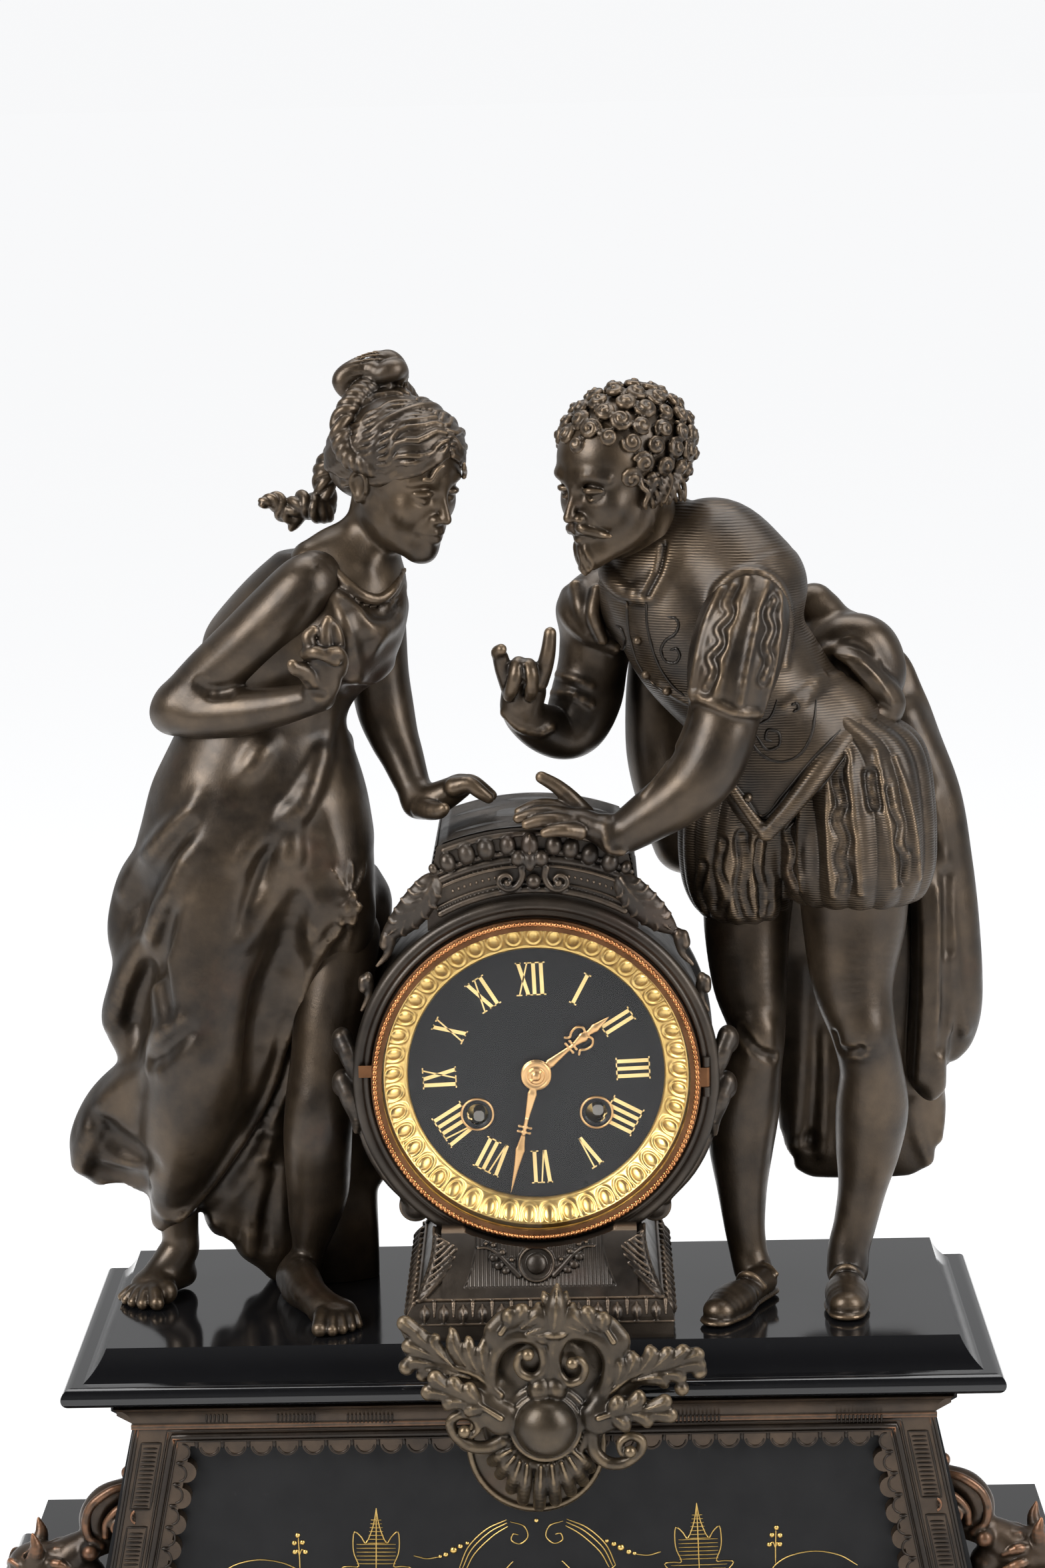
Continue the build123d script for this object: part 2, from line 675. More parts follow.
def upright_pin(x, y, z_low, z_high, radius, mode=Mode.ADD):
    """Upright round pin beside the drum."""
    with BuildSketch(Plane.XY.offset(DIAL_Z + z_low)) as outline:
        with Locations((CLOCK_X + x, y)):
            Circle(radius)
    extrude(outline.sketch, amount=z_high - z_low, mode=mode)


def upright_block(x_low, x_high, y_low, y_high, z_low, z_high):
    """Square block beside the drum."""
    with BuildSketch(Plane.XY.offset(DIAL_Z + z_low)) as outline:
        with Locations((CLOCK_X + x_low, y_low)):
            Rectangle(x_high - x_low, y_high - y_low, align=(Align.MIN, Align.MIN))
    extrude(outline.sketch, amount=z_high - z_low)


def hinge_lugs(x, y, y_seat):
    """Two lugs and their pin, seated on the face at y_seat."""
    inner = KNUCKLE_LENGTH / 2 + SEAT
    for low, high in ((inner, inner + LUG_LENGTH), (-inner - LUG_LENGTH, -inner)):
        upright_pin(x, y, low, high, HINGE_RADIUS)
        upright_block(x - HINGE_RADIUS, x + HINGE_RADIUS, min(y, y_seat), max(y, y_seat), low, high)
    upright_pin(x, y, -inner - LUG_LENGTH, inner + LUG_LENGTH, HINGE_PIN_RADIUS)


with BuildPart() as drum_case:
    turned_solid(
        [
            (-DRUM_FRONT, BEZEL_OPENING_RADIUS),
            (-DRUM_FRONT, BEZEL_RADIUS + FACE),
            (-DRUM_FRONT + RIM_WIDTH / 2, DRUM_RADIUS),
            (-DRUM_FRONT + RIM_WIDTH * 2, DRUM_RADIUS),
            (-DRUM_FRONT + RIM_WIDTH * 3, DRUM_WAIST_RADIUS),
            (DRUM_BACK - RIM_WIDTH * 2, DRUM_WAIST_RADIUS),
            (DRUM_BACK - RIM_WIDTH, DRUM_RADIUS),
            (DRUM_BACK, DRUM_RADIUS),
            (DRUM_BACK, DRUM_BORE),
            (-DRUM_FRONT + FLANGE_THICKNESS, DRUM_BORE),
            (-DRUM_FRONT + FLANGE_THICKNESS, BEZEL_OPENING_RADIUS),
        ]
    )
    hinge_lugs(HINGE_X, HINGE_Y, -DRUM_FRONT + RIM_WIDTH / 2)
export(drum_case, "drum_case")

# Arched hood on the drum
with BuildPart() as drum_hood:
    with BuildSketch(front(DRUM_BACK - HOOD_SETBACK)):
        Polygon(
            (HOOD_BOTTOM_WIDTH / 2, 0),
            (HOOD_BOTTOM_WIDTH / 2, DRUM_RADIUS),
            (HOOD_TOP_WIDTH / 2, HOOD_RADIUS),
            (-HOOD_TOP_WIDTH / 2, HOOD_RADIUS),
            (-HOOD_BOTTOM_WIDTH / 2, DRUM_RADIUS),
            (-HOOD_BOTTOM_WIDTH / 2, 0),
            align=None,
        )
        Circle(HOOD_RADIUS, mode=Mode.INTERSECT)
        Circle(DRUM_RADIUS, mode=Mode.SUBTRACT)
        with Locations((0, -DRUM_RADIUS)):
            Rectangle(2 * DRUM_RADIUS, 2 * DRUM_RADIUS, mode=Mode.SUBTRACT)
    extrude(amount=DRUM_FRONT + DRUM_BACK - 2 * HOOD_SETBACK - RIM_WIDTH / 2)
export(drum_hood, "drum_hood")

# Leaf mounts on the drum's sides and shoulders
LEAF_ANGLES = (137, 180, 218, 43, 0, -38)
with BuildPart() as drum_leaves:
    with BuildSketch(front(-DRUM_FRONT + RIM_WIDTH / 2 + LEAF_DEPTH)):
        for angle in LEAF_ANGLES:
            spot = (DRUM_RADIUS * cos(radians(angle)), DRUM_RADIUS * sin(radians(angle)))
            with Locations(Location((*spot, 0), (0, 0, angle))):
                Ellipse(LEAF_RISE, LEAF_LENGTH / 2)
        Circle(DRUM_RADIUS, mode=Mode.SUBTRACT)
    extrude(amount=LEAF_DEPTH)
    add(drum_hood.part, mode=Mode.SUBTRACT)
    add(pedestal.part, mode=Mode.SUBTRACT)
export(drum_leaves, "drum_leaves")

# Back ring, with the back door's hinge lugs and the strap screw holes
DOOR_HINGE_X = DOOR_RADIUS + HINGE_OFFSET
DOOR_HINGE_Y = RING_BACK_Y + HINGE_RADIUS + HINGE_FACE
with BuildPart() as back_ring:
    with BuildSketch(front(RING_BACK_Y)):
        Circle(BACK_RING_RADIUS)
        Circle(BACK_OPENING_RADIUS, mode=Mode.SUBTRACT)
        with Locations((0, STRAP_CIRCLE), (0, -STRAP_CIRCLE)):
            Circle(STRAP_SCREW_RADIUS + FACE, mode=Mode.SUBTRACT)
    extrude(amount=BACK_RING_THICKNESS)
    hinge_lugs(DOOR_HINGE_X, DOOR_HINGE_Y, RING_BACK_Y)
export(back_ring, "back_ring")

# Back door with a knob
with BuildPart() as back_door:
    with BuildSketch(front(RING_BACK_Y + FACE + DOOR_THICKNESS)):
        Circle(DOOR_RADIUS)
    extrude(amount=DOOR_THICKNESS)
    rod(
        RING_BACK_Y + FACE + DOOR_THICKNESS,
        RING_BACK_Y + FACE + DOOR_THICKNESS + DOOR_KNOB_LENGTH,
        (-DOOR_RADIUS + 3 * DOOR_KNOB_RADIUS, 0),
        DOOR_KNOB_RADIUS,
    )
    upright_block(
        DOOR_RADIUS - 2 * HINGE_RADIUS,
        DOOR_HINGE_X,
        RING_BACK_Y + 2 * FACE,
        RING_BACK_Y + FACE + DOOR_THICKNESS,
        -KNUCKLE_LENGTH / 2,
        KNUCKLE_LENGTH / 2,
    )
    upright_pin(DOOR_HINGE_X, DOOR_HINGE_Y, -KNUCKLE_LENGTH / 2, KNUCKLE_LENGTH / 2, HINGE_RADIUS)
    upright_pin(
        DOOR_HINGE_X,
        DOOR_HINGE_Y,
        -KNUCKLE_LENGTH / 2 - OVERRUN,
        KNUCKLE_LENGTH / 2 + OVERRUN,
        HINGE_PIN_RADIUS + RUNNING,
        mode=Mode.SUBTRACT,
    )
export(back_door, "back_door")

# Bezel with its knuckle and thumb tab
LEAF_BACK_Y = BEZEL_BACK_Y - HINGE_RADIUS / 3
with BuildPart() as bezel:
    turned_solid(
        [
            (BEZEL_FRONT_Y, BEZEL_SIGHT_RADIUS),
            (BEZEL_FRONT_Y, BEZEL_RADIUS - BEZEL_LIP),
            (BEZEL_FRONT_Y + BEZEL_LIP, BEZEL_RADIUS),
            (BEZEL_BACK_Y, BEZEL_RADIUS),
            (BEZEL_BACK_Y, GLASS_RADIUS + SEAT),
            (BEZEL_FRONT_Y + BEZEL_LIP, GLASS_RADIUS + SEAT),
            (BEZEL_FRONT_Y + BEZEL_LIP, BEZEL_SIGHT_RADIUS),
        ]
    )
    upright_block(
        BEZEL_RADIUS - BEZEL_LIP,
        HINGE_X,
        HINGE_Y - HINGE_RADIUS,
        LEAF_BACK_Y,
        -KNUCKLE_LENGTH / 2,
        KNUCKLE_LENGTH / 2,
    )
    upright_pin(HINGE_X, HINGE_Y, -KNUCKLE_LENGTH / 2, KNUCKLE_LENGTH / 2, HINGE_RADIUS)
    upright_pin(
        HINGE_X,
        HINGE_Y,
        -KNUCKLE_LENGTH / 2 - OVERRUN,
        KNUCKLE_LENGTH / 2 + OVERRUN,
        HINGE_PIN_RADIUS + RUNNING,
        mode=Mode.SUBTRACT,
    )
    upright_block(
        -BEZEL_RADIUS - TAB_LENGTH,
        -BEZEL_RADIUS + BEZEL_LIP,
        BEZEL_FRONT_Y + BEZEL_LIP,
        BEZEL_FRONT_Y + BEZEL_LIP + TAB_THICKNESS,
        TAB_WIDTH / 2,
        3 * TAB_WIDTH / 2,
    )
export(bezel, "bezel")

# Glass behind the bezel's lip
with BuildPart() as dial_glass:
    rod(
        BEZEL_FRONT_Y + BEZEL_LIP + FACE,
        BEZEL_FRONT_Y + BEZEL_LIP + FACE + GLASS_THICKNESS,
        (0, 0),
        GLASS_RADIUS,
    )
export(dial_glass, "dial_glass")

# Sight ring that slopes from the bezel to the dial
with BuildPart() as sight_ring:
    turned_solid(
        [
            (DIAL_FACE_Y, DIAL_SIGHT_RADIUS),
            (DIAL_FACE_Y - SIGHT_RING_LIP, DIAL_SIGHT_RADIUS),
            (-DRUM_FRONT, SIGHT_RING_RADIUS - SIGHT_RING_LIP),
            (-DRUM_FRONT, SIGHT_RING_RADIUS),
            (DIAL_BACK_Y, SIGHT_RING_RADIUS),
            (DIAL_BACK_Y, DIAL_RADIUS + SEAT),
            (DIAL_FACE_Y, DIAL_RADIUS + SEAT),
        ]
    )
export(sight_ring, "sight_ring")

# Arbor places, seen from the front, from the dial's centre
CENTRE = (0.0, 0.0)
GOING = turned(WINDING_X, -WINDING_DROP)
STRIKE = turned(-WINDING_X, -WINDING_DROP)
ESCAPE = (0.0, ESCAPE_RISE)
PALLET = (0.0, PALLET_RISE)
GREAT_REACH = pitch_radius(GREAT_TEETH + GREAT_PINION_TEETH, GREAT_MODULE)
INTERMEDIATE_REACH = pitch_radius(INTERMEDIATE_TEETH + CENTRE_PINION_TEETH, TRAIN_MODULE)
THIRD_REACH = pitch_radius(CENTRE_TEETH + THIRD_PINION_TEETH, TRAIN_MODULE)
ESCAPE_REACH = pitch_radius(THIRD_TEETH + ESCAPE_PINION_TEETH, TRAIN_MODULE)
MOTION_REACH = pitch_radius(CANNON_TEETH + MINUTE_WHEEL_TEETH, CANNON_MODULE)
INTERMEDIATE = meet(CENTRE, INTERMEDIATE_REACH, GOING, GREAT_REACH, 1)
THIRD = meet(CENTRE, THIRD_REACH, ESCAPE, ESCAPE_REACH, 1)
PIN_ANGLE = 117
PIN = (
    STRIKE[0] + GREAT_REACH * cos(radians(PIN_ANGLE)),
    STRIKE[1] + GREAT_REACH * sin(radians(PIN_ANGLE)),
)
MINUTE = (0.0, -MOTION_REACH)
HAMMER = (HAMMER_X, HAMMER_Z)
PILLAR_CIRCLE_SHARE = 0.92
PILLAR_ANGLES = (60, 120, -75, -105)
PILLAR_CIRCLE = PILLAR_CIRCLE_SHARE * PLATE_RADIUS
PILLARS = [
    (PILLAR_CIRCLE * cos(radians(angle)), PILLAR_CIRCLE * sin(radians(angle)))
    for angle in PILLAR_ANGLES
]

# Depths of the train's layers
BARREL_Y = PLATE_INNER_Y + LAYER_GAP
GREAT_Y = BARREL_Y + BARREL_LENGTH - WHEEL_THICKNESS
INTERMEDIATE_Y = GREAT_Y + WHEEL_THICKNESS + LAYER_GAP
CENTRE_Y = INTERMEDIATE_Y + WHEEL_THICKNESS + LAYER_GAP
THIRD_Y = CENTRE_Y + WHEEL_THICKNESS + LAYER_GAP
ESCAPE_Y = THIRD_Y + WHEEL_THICKNESS + LAYER_GAP
PINION_LEAD = (PINION_LENGTH - WHEEL_THICKNESS) / 2
CANNON_Y = PLATE_FRONT_Y - WHEEL_THICKNESS - LAYER_GAP / 2
HOUR_Y = CANNON_Y - WHEEL_THICKNESS - LAYER_GAP
HOUR_HAND_Y = DIAL_FACE_Y - HAND_GAP - HAND_THICKNESS
MINUTE_HAND_Y = HOUR_HAND_Y - HAND_GAP - HAND_THICKNESS

# Dial with its three feet, centre hole and winding holes
with BuildPart() as dial:
    with BuildSketch(front(DIAL_BACK_Y)):
        Circle(DIAL_RADIUS)
        Circle(HOUR_PIPE_RADIUS + SEAT, mode=Mode.SUBTRACT)
        with Locations(GOING, STRIKE):
            Circle(COLLET_BORE + COLLET_WALL, mode=Mode.SUBTRACT)
    extrude(amount=DIAL_THICKNESS)
    with BuildSketch(front(PLATE_FRONT_Y)):
        with PolarLocations(DIAL_FOOT_CIRCLE, 3, start_angle=90):
            Circle(DIAL_FOOT_RADIUS)
    extrude(amount=MOTION_SPACE)
export(dial, "dial")

# Brass collets round the winding holes
with BuildPart() as winding_collets:
    for spot in (GOING, STRIKE):
        rod(DIAL_FACE_Y, DIAL_BACK_Y, spot, COLLET_BORE + COLLET_WALL)
        rod(DIAL_FACE_Y - COLLET_WALL, DIAL_FACE_Y, spot, COLLET_RADIUS)
        rod(DIAL_FACE_Y - COLLET_WALL, DIAL_BACK_Y, spot, COLLET_BORE, mode=Mode.SUBTRACT)
export(winding_collets, "winding_collets")

# Movement plates
TRAIN_PLACES = (CENTRE, INTERMEDIATE, THIRD, ESCAPE, PALLET, PIN, HAMMER)
TRAIN_RADII = (CENTRE_ARBOR_RADIUS,) + (ARBOR_RADIUS,) * 6


def plate(y):
    """Round plate with a running hole for each arbor, with its front face at depth y."""
    rod(y, y + PLATE_THICKNESS, (0, 0), PLATE_RADIUS)
    for spot, radius in zip(TRAIN_PLACES, TRAIN_RADII):
        rod(y, y + PLATE_THICKNESS, spot, radius + RUNNING, mode=Mode.SUBTRACT)
    for spot in (GOING, STRIKE):
        rod(y, y + PLATE_THICKNESS, spot, WINDING_PIVOT_RADIUS + RUNNING, mode=Mode.SUBTRACT)


with BuildPart() as front_plate:
    plate(PLATE_FRONT_Y)
    rod(HOUR_Y, PLATE_FRONT_Y + PLATE_THICKNESS, MINUTE, STUD_RADIUS)
export(front_plate, "front_plate")

with BuildPart() as back_plate:
    plate(BACK_INNER_Y)
export(back_plate, "back_plate")

with BuildPart() as plate_pillars:
    for spot in PILLARS:
        rod(PLATE_INNER_Y, BACK_INNER_Y, spot, PILLAR_RADIUS)
export(plate_pillars, "plate_pillars")

# Centre arbor with its pinion, wheel and cannon pinion
INTERMEDIATE_PHASE = mesh_phase(0, CENTRE_PINION_TEETH, INTERMEDIATE_TEETH, CENTRE, INTERMEDIATE)
GREAT_PHASE = mesh_phase(0, GREAT_PINION_TEETH, GREAT_TEETH, INTERMEDIATE, GOING)
THIRD_PINION_PHASE = mesh_phase(0, CENTRE_TEETH, THIRD_PINION_TEETH, CENTRE, THIRD)
ESCAPE_PINION_PHASE = mesh_phase(0, THIRD_TEETH, ESCAPE_PINION_TEETH, THIRD, ESCAPE)
MINUTE_WHEEL_PHASE = mesh_phase(0, CANNON_TEETH, MINUTE_WHEEL_TEETH, CENTRE, MINUTE)
HOUR_WHEEL_PHASE = mesh_phase(0, MINUTE_PINION_TEETH, HOUR_WHEEL_TEETH, MINUTE, CENTRE)
PIN_PINION_PHASE = mesh_phase(0, GREAT_TEETH, GREAT_PINION_TEETH, STRIKE, PIN)

with BuildPart() as centre_arbor:
    rod(PLATE_FRONT_Y, BACK_OUTER_Y, CENTRE, CENTRE_ARBOR_RADIUS)
    pinion(INTERMEDIATE_Y - PINION_LEAD, CENTRE, CENTRE_PINION_TEETH, TRAIN_MODULE, 0, PINION_LENGTH)
    wheel(CENTRE_Y, CENTRE, CENTRE_TEETH, TRAIN_MODULE, 0, WHEEL_THICKNESS)
    rod(MINUTE_HAND_Y + HAND_THICKNESS, PLATE_FRONT_Y - FACE, CENTRE, CANNON_TUBE_RADIUS)
    pinion(CANNON_Y - PINION_LEAD / 2, CENTRE, CANNON_TEETH, CANNON_MODULE, 0, WHEEL_THICKNESS + PINION_LEAD)
    rod(MINUTE_HAND_Y - HAND_NUT_HEIGHT, PLATE_FRONT_Y, CENTRE, CENTRE_ARBOR_RADIUS)
export(centre_arbor, "centre_arbor")

# Motion work: minute wheel with its pinion, and hour wheel with its pipe
with BuildPart() as minute_wheel:
    wheel(CANNON_Y, MINUTE, MINUTE_WHEEL_TEETH, CANNON_MODULE, MINUTE_WHEEL_PHASE, WHEEL_THICKNESS)
    pinion(HOUR_Y, MINUTE, MINUTE_PINION_TEETH, HOUR_MODULE, 0, CANNON_Y - HOUR_Y)
    rod(HOUR_Y, CANNON_Y + WHEEL_THICKNESS, MINUTE, STUD_RADIUS + RUNNING, mode=Mode.SUBTRACT)
export(minute_wheel, "minute_wheel")

with BuildPart() as hour_wheel:
    wheel(HOUR_Y, CENTRE, HOUR_WHEEL_TEETH, HOUR_MODULE, HOUR_WHEEL_PHASE, WHEEL_THICKNESS)
    rod(HOUR_HAND_Y + HAND_THICKNESS, HOUR_Y, CENTRE, HOUR_PIPE_RADIUS)
    rod(HOUR_HAND_Y, HOUR_Y + WHEEL_THICKNESS, CENTRE, CANNON_TUBE_RADIUS + RUNNING, mode=Mode.SUBTRACT)
export(hour_wheel, "hour_wheel")

# Hour hand: a hub, a stem, an open spade and a point
HOUR_SPADE_SHARE = 0.58
HOUR_STEM_SHARE = 0.18
SPADE_LONG_SHARE = 0.8
SPADE_OPEN_WIDE_SHARE = 0.3
SPADE_OPEN_LONG_SHARE = 0.55
with BuildPart() as hour_hand:
    with BuildSketch(hand_plane(HOUR_HAND_Y + HAND_THICKNESS, HOUR_HAND_ANGLE)):
        Circle(HAND_HUB_RADIUS)
        with Locations((0, HOUR_HAND_LENGTH / 2)):
            Rectangle(HOUR_HAND_WIDTH * HOUR_STEM_SHARE, HOUR_HAND_LENGTH)
        with Locations((0, HOUR_HAND_LENGTH * HOUR_SPADE_SHARE)):
            Ellipse(HOUR_HAND_WIDTH / 2, HOUR_HAND_WIDTH * SPADE_LONG_SHARE)
            Ellipse(
                HOUR_HAND_WIDTH * SPADE_OPEN_WIDE_SHARE,
                HOUR_HAND_WIDTH * SPADE_OPEN_LONG_SHARE,
                mode=Mode.SUBTRACT,
            )
        Circle(CANNON_TUBE_RADIUS + SEAT, mode=Mode.SUBTRACT)
    extrude(amount=HAND_THICKNESS)
export(hour_hand, "hour_hand")

# Minute hand: a hub, a tapered lance and cross bars, with the nut that holds it
MINUTE_BAR_SHARES = (0.3, 0.62)
MINUTE_BAR_WIDE_SHARE = 1.3
MINUTE_HUB_SHARE = 0.8
with BuildPart() as minute_hand:
    with BuildSketch(hand_plane(MINUTE_HAND_Y + HAND_THICKNESS, MINUTE_HAND_ANGLE)):
        Circle(HAND_HUB_RADIUS * MINUTE_HUB_SHARE)
        Polygon(
            (-MINUTE_HAND_WIDTH / 2, 0),
            (MINUTE_HAND_WIDTH / 2, 0),
            (MINUTE_HAND_WIDTH / 6, MINUTE_HAND_LENGTH),
            (-MINUTE_HAND_WIDTH / 6, MINUTE_HAND_LENGTH),
            align=None,
        )
        for share in MINUTE_BAR_SHARES:
            with Locations((0, MINUTE_HAND_LENGTH * share)):
                Rectangle(MINUTE_HAND_WIDTH * MINUTE_BAR_WIDE_SHARE, HAND_THICKNESS)
        Circle(CENTRE_ARBOR_RADIUS, mode=Mode.SUBTRACT)
    extrude(amount=HAND_THICKNESS)
    rod(MINUTE_HAND_Y - HAND_NUT_HEIGHT, MINUTE_HAND_Y, CENTRE, HAND_NUT_RADIUS)
    rod(MINUTE_HAND_Y - HAND_NUT_HEIGHT, MINUTE_HAND_Y, CENTRE, CENTRE_ARBOR_RADIUS, mode=Mode.SUBTRACT)
export(minute_hand, "minute_hand")


def train_arbor(spot):
    """Arbor that runs through both plates."""
    rod(PLATE_FRONT_Y, BACK_OUTER_Y, spot, ARBOR_RADIUS)


with BuildPart() as intermediate_wheel:
    train_arbor(INTERMEDIATE)
    wheel(INTERMEDIATE_Y, INTERMEDIATE, INTERMEDIATE_TEETH, TRAIN_MODULE, INTERMEDIATE_PHASE, WHEEL_THICKNESS)
    pinion(GREAT_Y - PINION_LEAD, INTERMEDIATE, GREAT_PINION_TEETH, GREAT_MODULE, 0, PINION_LENGTH)
export(intermediate_wheel, "intermediate_wheel")

with BuildPart() as third_wheel:
    train_arbor(THIRD)
    wheel(THIRD_Y, THIRD, THIRD_TEETH, TRAIN_MODULE, 0, WHEEL_THICKNESS)
    pinion(CENTRE_Y - PINION_LEAD, THIRD, THIRD_PINION_TEETH, TRAIN_MODULE, THIRD_PINION_PHASE, PINION_LENGTH)
export(third_wheel, "third_wheel")

# Escape wheel with pointed teeth
ESCAPE_ROOT_SHARE = 0.8
ESCAPE_LEAN_SHARE = 0.35
with BuildPart() as escape_wheel:
    train_arbor(ESCAPE)
    pinion_y = THIRD_Y - PINION_LEAD
    pinion(pinion_y, ESCAPE, ESCAPE_PINION_TEETH, TRAIN_MODULE, ESCAPE_PINION_PHASE, PINION_LENGTH)
    escape_points = []
    tooth_shares = (
        (0, ESCAPE_ROOT_SHARE),
        (ESCAPE_LEAN_SHARE, 1),
        (2 * ESCAPE_LEAN_SHARE, ESCAPE_ROOT_SHARE),
    )
    for tooth in range(ESCAPE_TEETH):
        for shift, reach in tooth_shares:
            angle = 2 * pi * (tooth + shift) / ESCAPE_TEETH
            escape_points.append((reach * ESCAPE_RADIUS * cos(angle), reach * ESCAPE_RADIUS * sin(angle)))
    with BuildSketch(front(ESCAPE_Y + WHEEL_THICKNESS, *ESCAPE)):
        Polygon(*escape_points, align=None)
    extrude(amount=WHEEL_THICKNESS)
export(escape_wheel, "escape_wheel")

# Pallets on their arbor, with the crutch and its fork behind the back plate
CRUTCH_Y = BACK_OUTER_Y + CRUTCH_THICKNESS / 2
PAD_REACH = ESCAPE_RADIUS + PALLET_CLEARANCE
PAD_ANGLE = 45
with BuildPart() as pallets:
    rod(PLATE_FRONT_Y, CRUTCH_Y + CRUTCH_THICKNESS, PALLET, ARBOR_RADIUS)
    with BuildSketch(front(ESCAPE_Y + WHEEL_THICKNESS, *ESCAPE)):
        with Locations((0, PALLET_RISE - ESCAPE_RISE)):
            Circle(CRUTCH_WIDTH)
        for side in (-1, 1):
            pad_x = side * PAD_REACH * sin(radians(PAD_ANGLE))
            pad_z = PAD_REACH * cos(radians(PAD_ANGLE))
            Polygon(
                (0, PALLET_RISE - ESCAPE_RISE + CRUTCH_WIDTH),
                (pad_x + side * CRUTCH_WIDTH / 2, pad_z),
                (pad_x, pad_z - CRUTCH_WIDTH / 3),
                (0, PALLET_RISE - ESCAPE_RISE - CRUTCH_WIDTH / 3),
                align=None,
            )
    extrude(amount=WHEEL_THICKNESS)
    with BuildSketch(front(CRUTCH_Y + CRUTCH_THICKNESS, *PALLET)):
        Circle(CRUTCH_WIDTH)
        with Locations((0, -CRUTCH_LENGTH / 2)):
            Rectangle(CRUTCH_WIDTH, CRUTCH_LENGTH)
        with Locations((0, -CRUTCH_LENGTH)):
            Rectangle(2 * (ROD_RADIUS + FORK_GAP + CRUTCH_THICKNESS), CRUTCH_WIDTH)
    extrude(amount=CRUTCH_THICKNESS)
    for side in (-1, 1):
        with BuildSketch(front(PENDULUM_Y + 2 * ROD_RADIUS, *PALLET)) as tine:
            with Locations((side * (ROD_RADIUS + FORK_GAP + CRUTCH_THICKNESS / 2), -CRUTCH_LENGTH)):
                Rectangle(CRUTCH_THICKNESS, CRUTCH_WIDTH)
        extrude(tine.sketch, amount=PENDULUM_Y + 2 * ROD_RADIUS - CRUTCH_Y)
export(pallets, "pallets")

# Suspension cock on the back plate
STRIP_TOP = PALLET_RISE + STRIP_LENGTH / 3
with BuildPart() as suspension_cock:
    with BuildSketch(front(PENDULUM_Y + 3 * ROD_RADIUS)):
        with Locations((0, STRIP_TOP + SEAT)):
            Rectangle(COCK_WIDTH, COCK_HEIGHT, align=(Align.CENTER, Align.MIN))
    extrude(amount=PENDULUM_Y + 3 * ROD_RADIUS - BACK_OUTER_Y)
export(suspension_cock, "suspension_cock")

# Pendulum: suspension strip, rod, lens-shaped bob and rating nut
LENS_SHARE = 0.7
with BuildPart() as pendulum:
    with BuildSketch(front(PENDULUM_Y + STRIP_WIDTH / 2)):
        with Locations((0, STRIP_TOP)):
            Rectangle(STRIP_THICKNESS, STRIP_LENGTH, align=(Align.CENTER, Align.MAX))
    extrude(amount=STRIP_WIDTH)
    bob_z = DIAL_Z + PALLET_RISE - PENDULUM_LENGTH
    rod_low_z = bob_z - BOB_RADIUS - 2 * RATING_NUT_HEIGHT
    rod_high_z = DIAL_Z + STRIP_TOP - STRIP_LENGTH + STRIP_WIDTH / 2
    with BuildSketch(Plane.XY.offset(rod_low_z)):
        with Locations((CLOCK_X, PENDULUM_Y)):
            Circle(ROD_RADIUS)
    extrude(amount=rod_high_z - rod_low_z)
    with BuildSketch(Plane(origin=(CLOCK_X, PENDULUM_Y, bob_z), x_dir=(0, 1, 0), z_dir=(1, 0, 0))) as lens:
        with BuildLine():
            Line((-BOB_THICKNESS / 2, 0), (BOB_THICKNESS / 2, 0))
            for face in (1, -1):
                ThreePointArc(
                    (face * BOB_THICKNESS / 2, 0),
                    (face * (BOB_THICKNESS / 3 + BOB_RIM / 6), BOB_RADIUS * LENS_SHARE),
                    (face * BOB_RIM / 2, BOB_RADIUS),
                )
            Line((BOB_RIM / 2, BOB_RADIUS), (-BOB_RIM / 2, BOB_RADIUS))
        make_face()
    revolve(axis=Axis((CLOCK_X, PENDULUM_Y, bob_z), (0, 1, 0)))
    with BuildSketch(Plane.XY.offset(bob_z - BOB_RADIUS - RATING_NUT_HEIGHT)):
        with Locations((CLOCK_X, PENDULUM_Y)):
            Circle(RATING_NUT_RADIUS)
    extrude(amount=RATING_NUT_HEIGHT)
export(pendulum, "pendulum")


def barrel(spot, phase):
    """Spring barrel with the great wheel's teeth at its back end."""
    rod(BARREL_Y, BARREL_Y + BARREL_LENGTH, spot, BARREL_RADIUS)
    wheel(GREAT_Y, spot, GREAT_TEETH, GREAT_MODULE, phase, WHEEL_THICKNESS)
    rod(
        BARREL_Y + BARREL_WALL,
        BARREL_Y + BARREL_LENGTH - BARREL_WALL,
        spot,
        BARREL_RADIUS - BARREL_WALL,
        mode=Mode.SUBTRACT,
    )
    rod(BARREL_Y, BARREL_Y + BARREL_LENGTH, spot, BARREL_ARBOR_RADIUS + RUNNING, mode=Mode.SUBTRACT)


def mainspring(spot):
    """Coiled spring strip inside a barrel."""
    inner = BARREL_ARBOR_RADIUS + SPRING_THICKNESS
    outer = BARREL_RADIUS - BARREL_WALL - FACE
    steps = SPRING_TURNS * SPRING_STEPS
    middle = []
    for step in range(steps + 1):
        reach = inner + (outer - SPRING_THICKNESS - inner) * step / steps
        angle = 2 * pi * SPRING_TURNS * step / steps
        middle.append((reach, angle))
    inside = [(reach * cos(angle), reach * sin(angle)) for reach, angle in middle]
    outside = [
        ((reach + SPRING_THICKNESS) * cos(angle), (reach + SPRING_THICKNESS) * sin(angle))
        for reach, angle in middle
    ]
    with BuildSketch(front(BARREL_Y + BARREL_LENGTH - BARREL_WALL - SEAT, *spot)) as strip:
        Polygon(*(inside + outside[::-1]), align=None)
    extrude(strip.sketch, amount=BARREL_LENGTH - 2 * BARREL_WALL - 2 * SEAT)


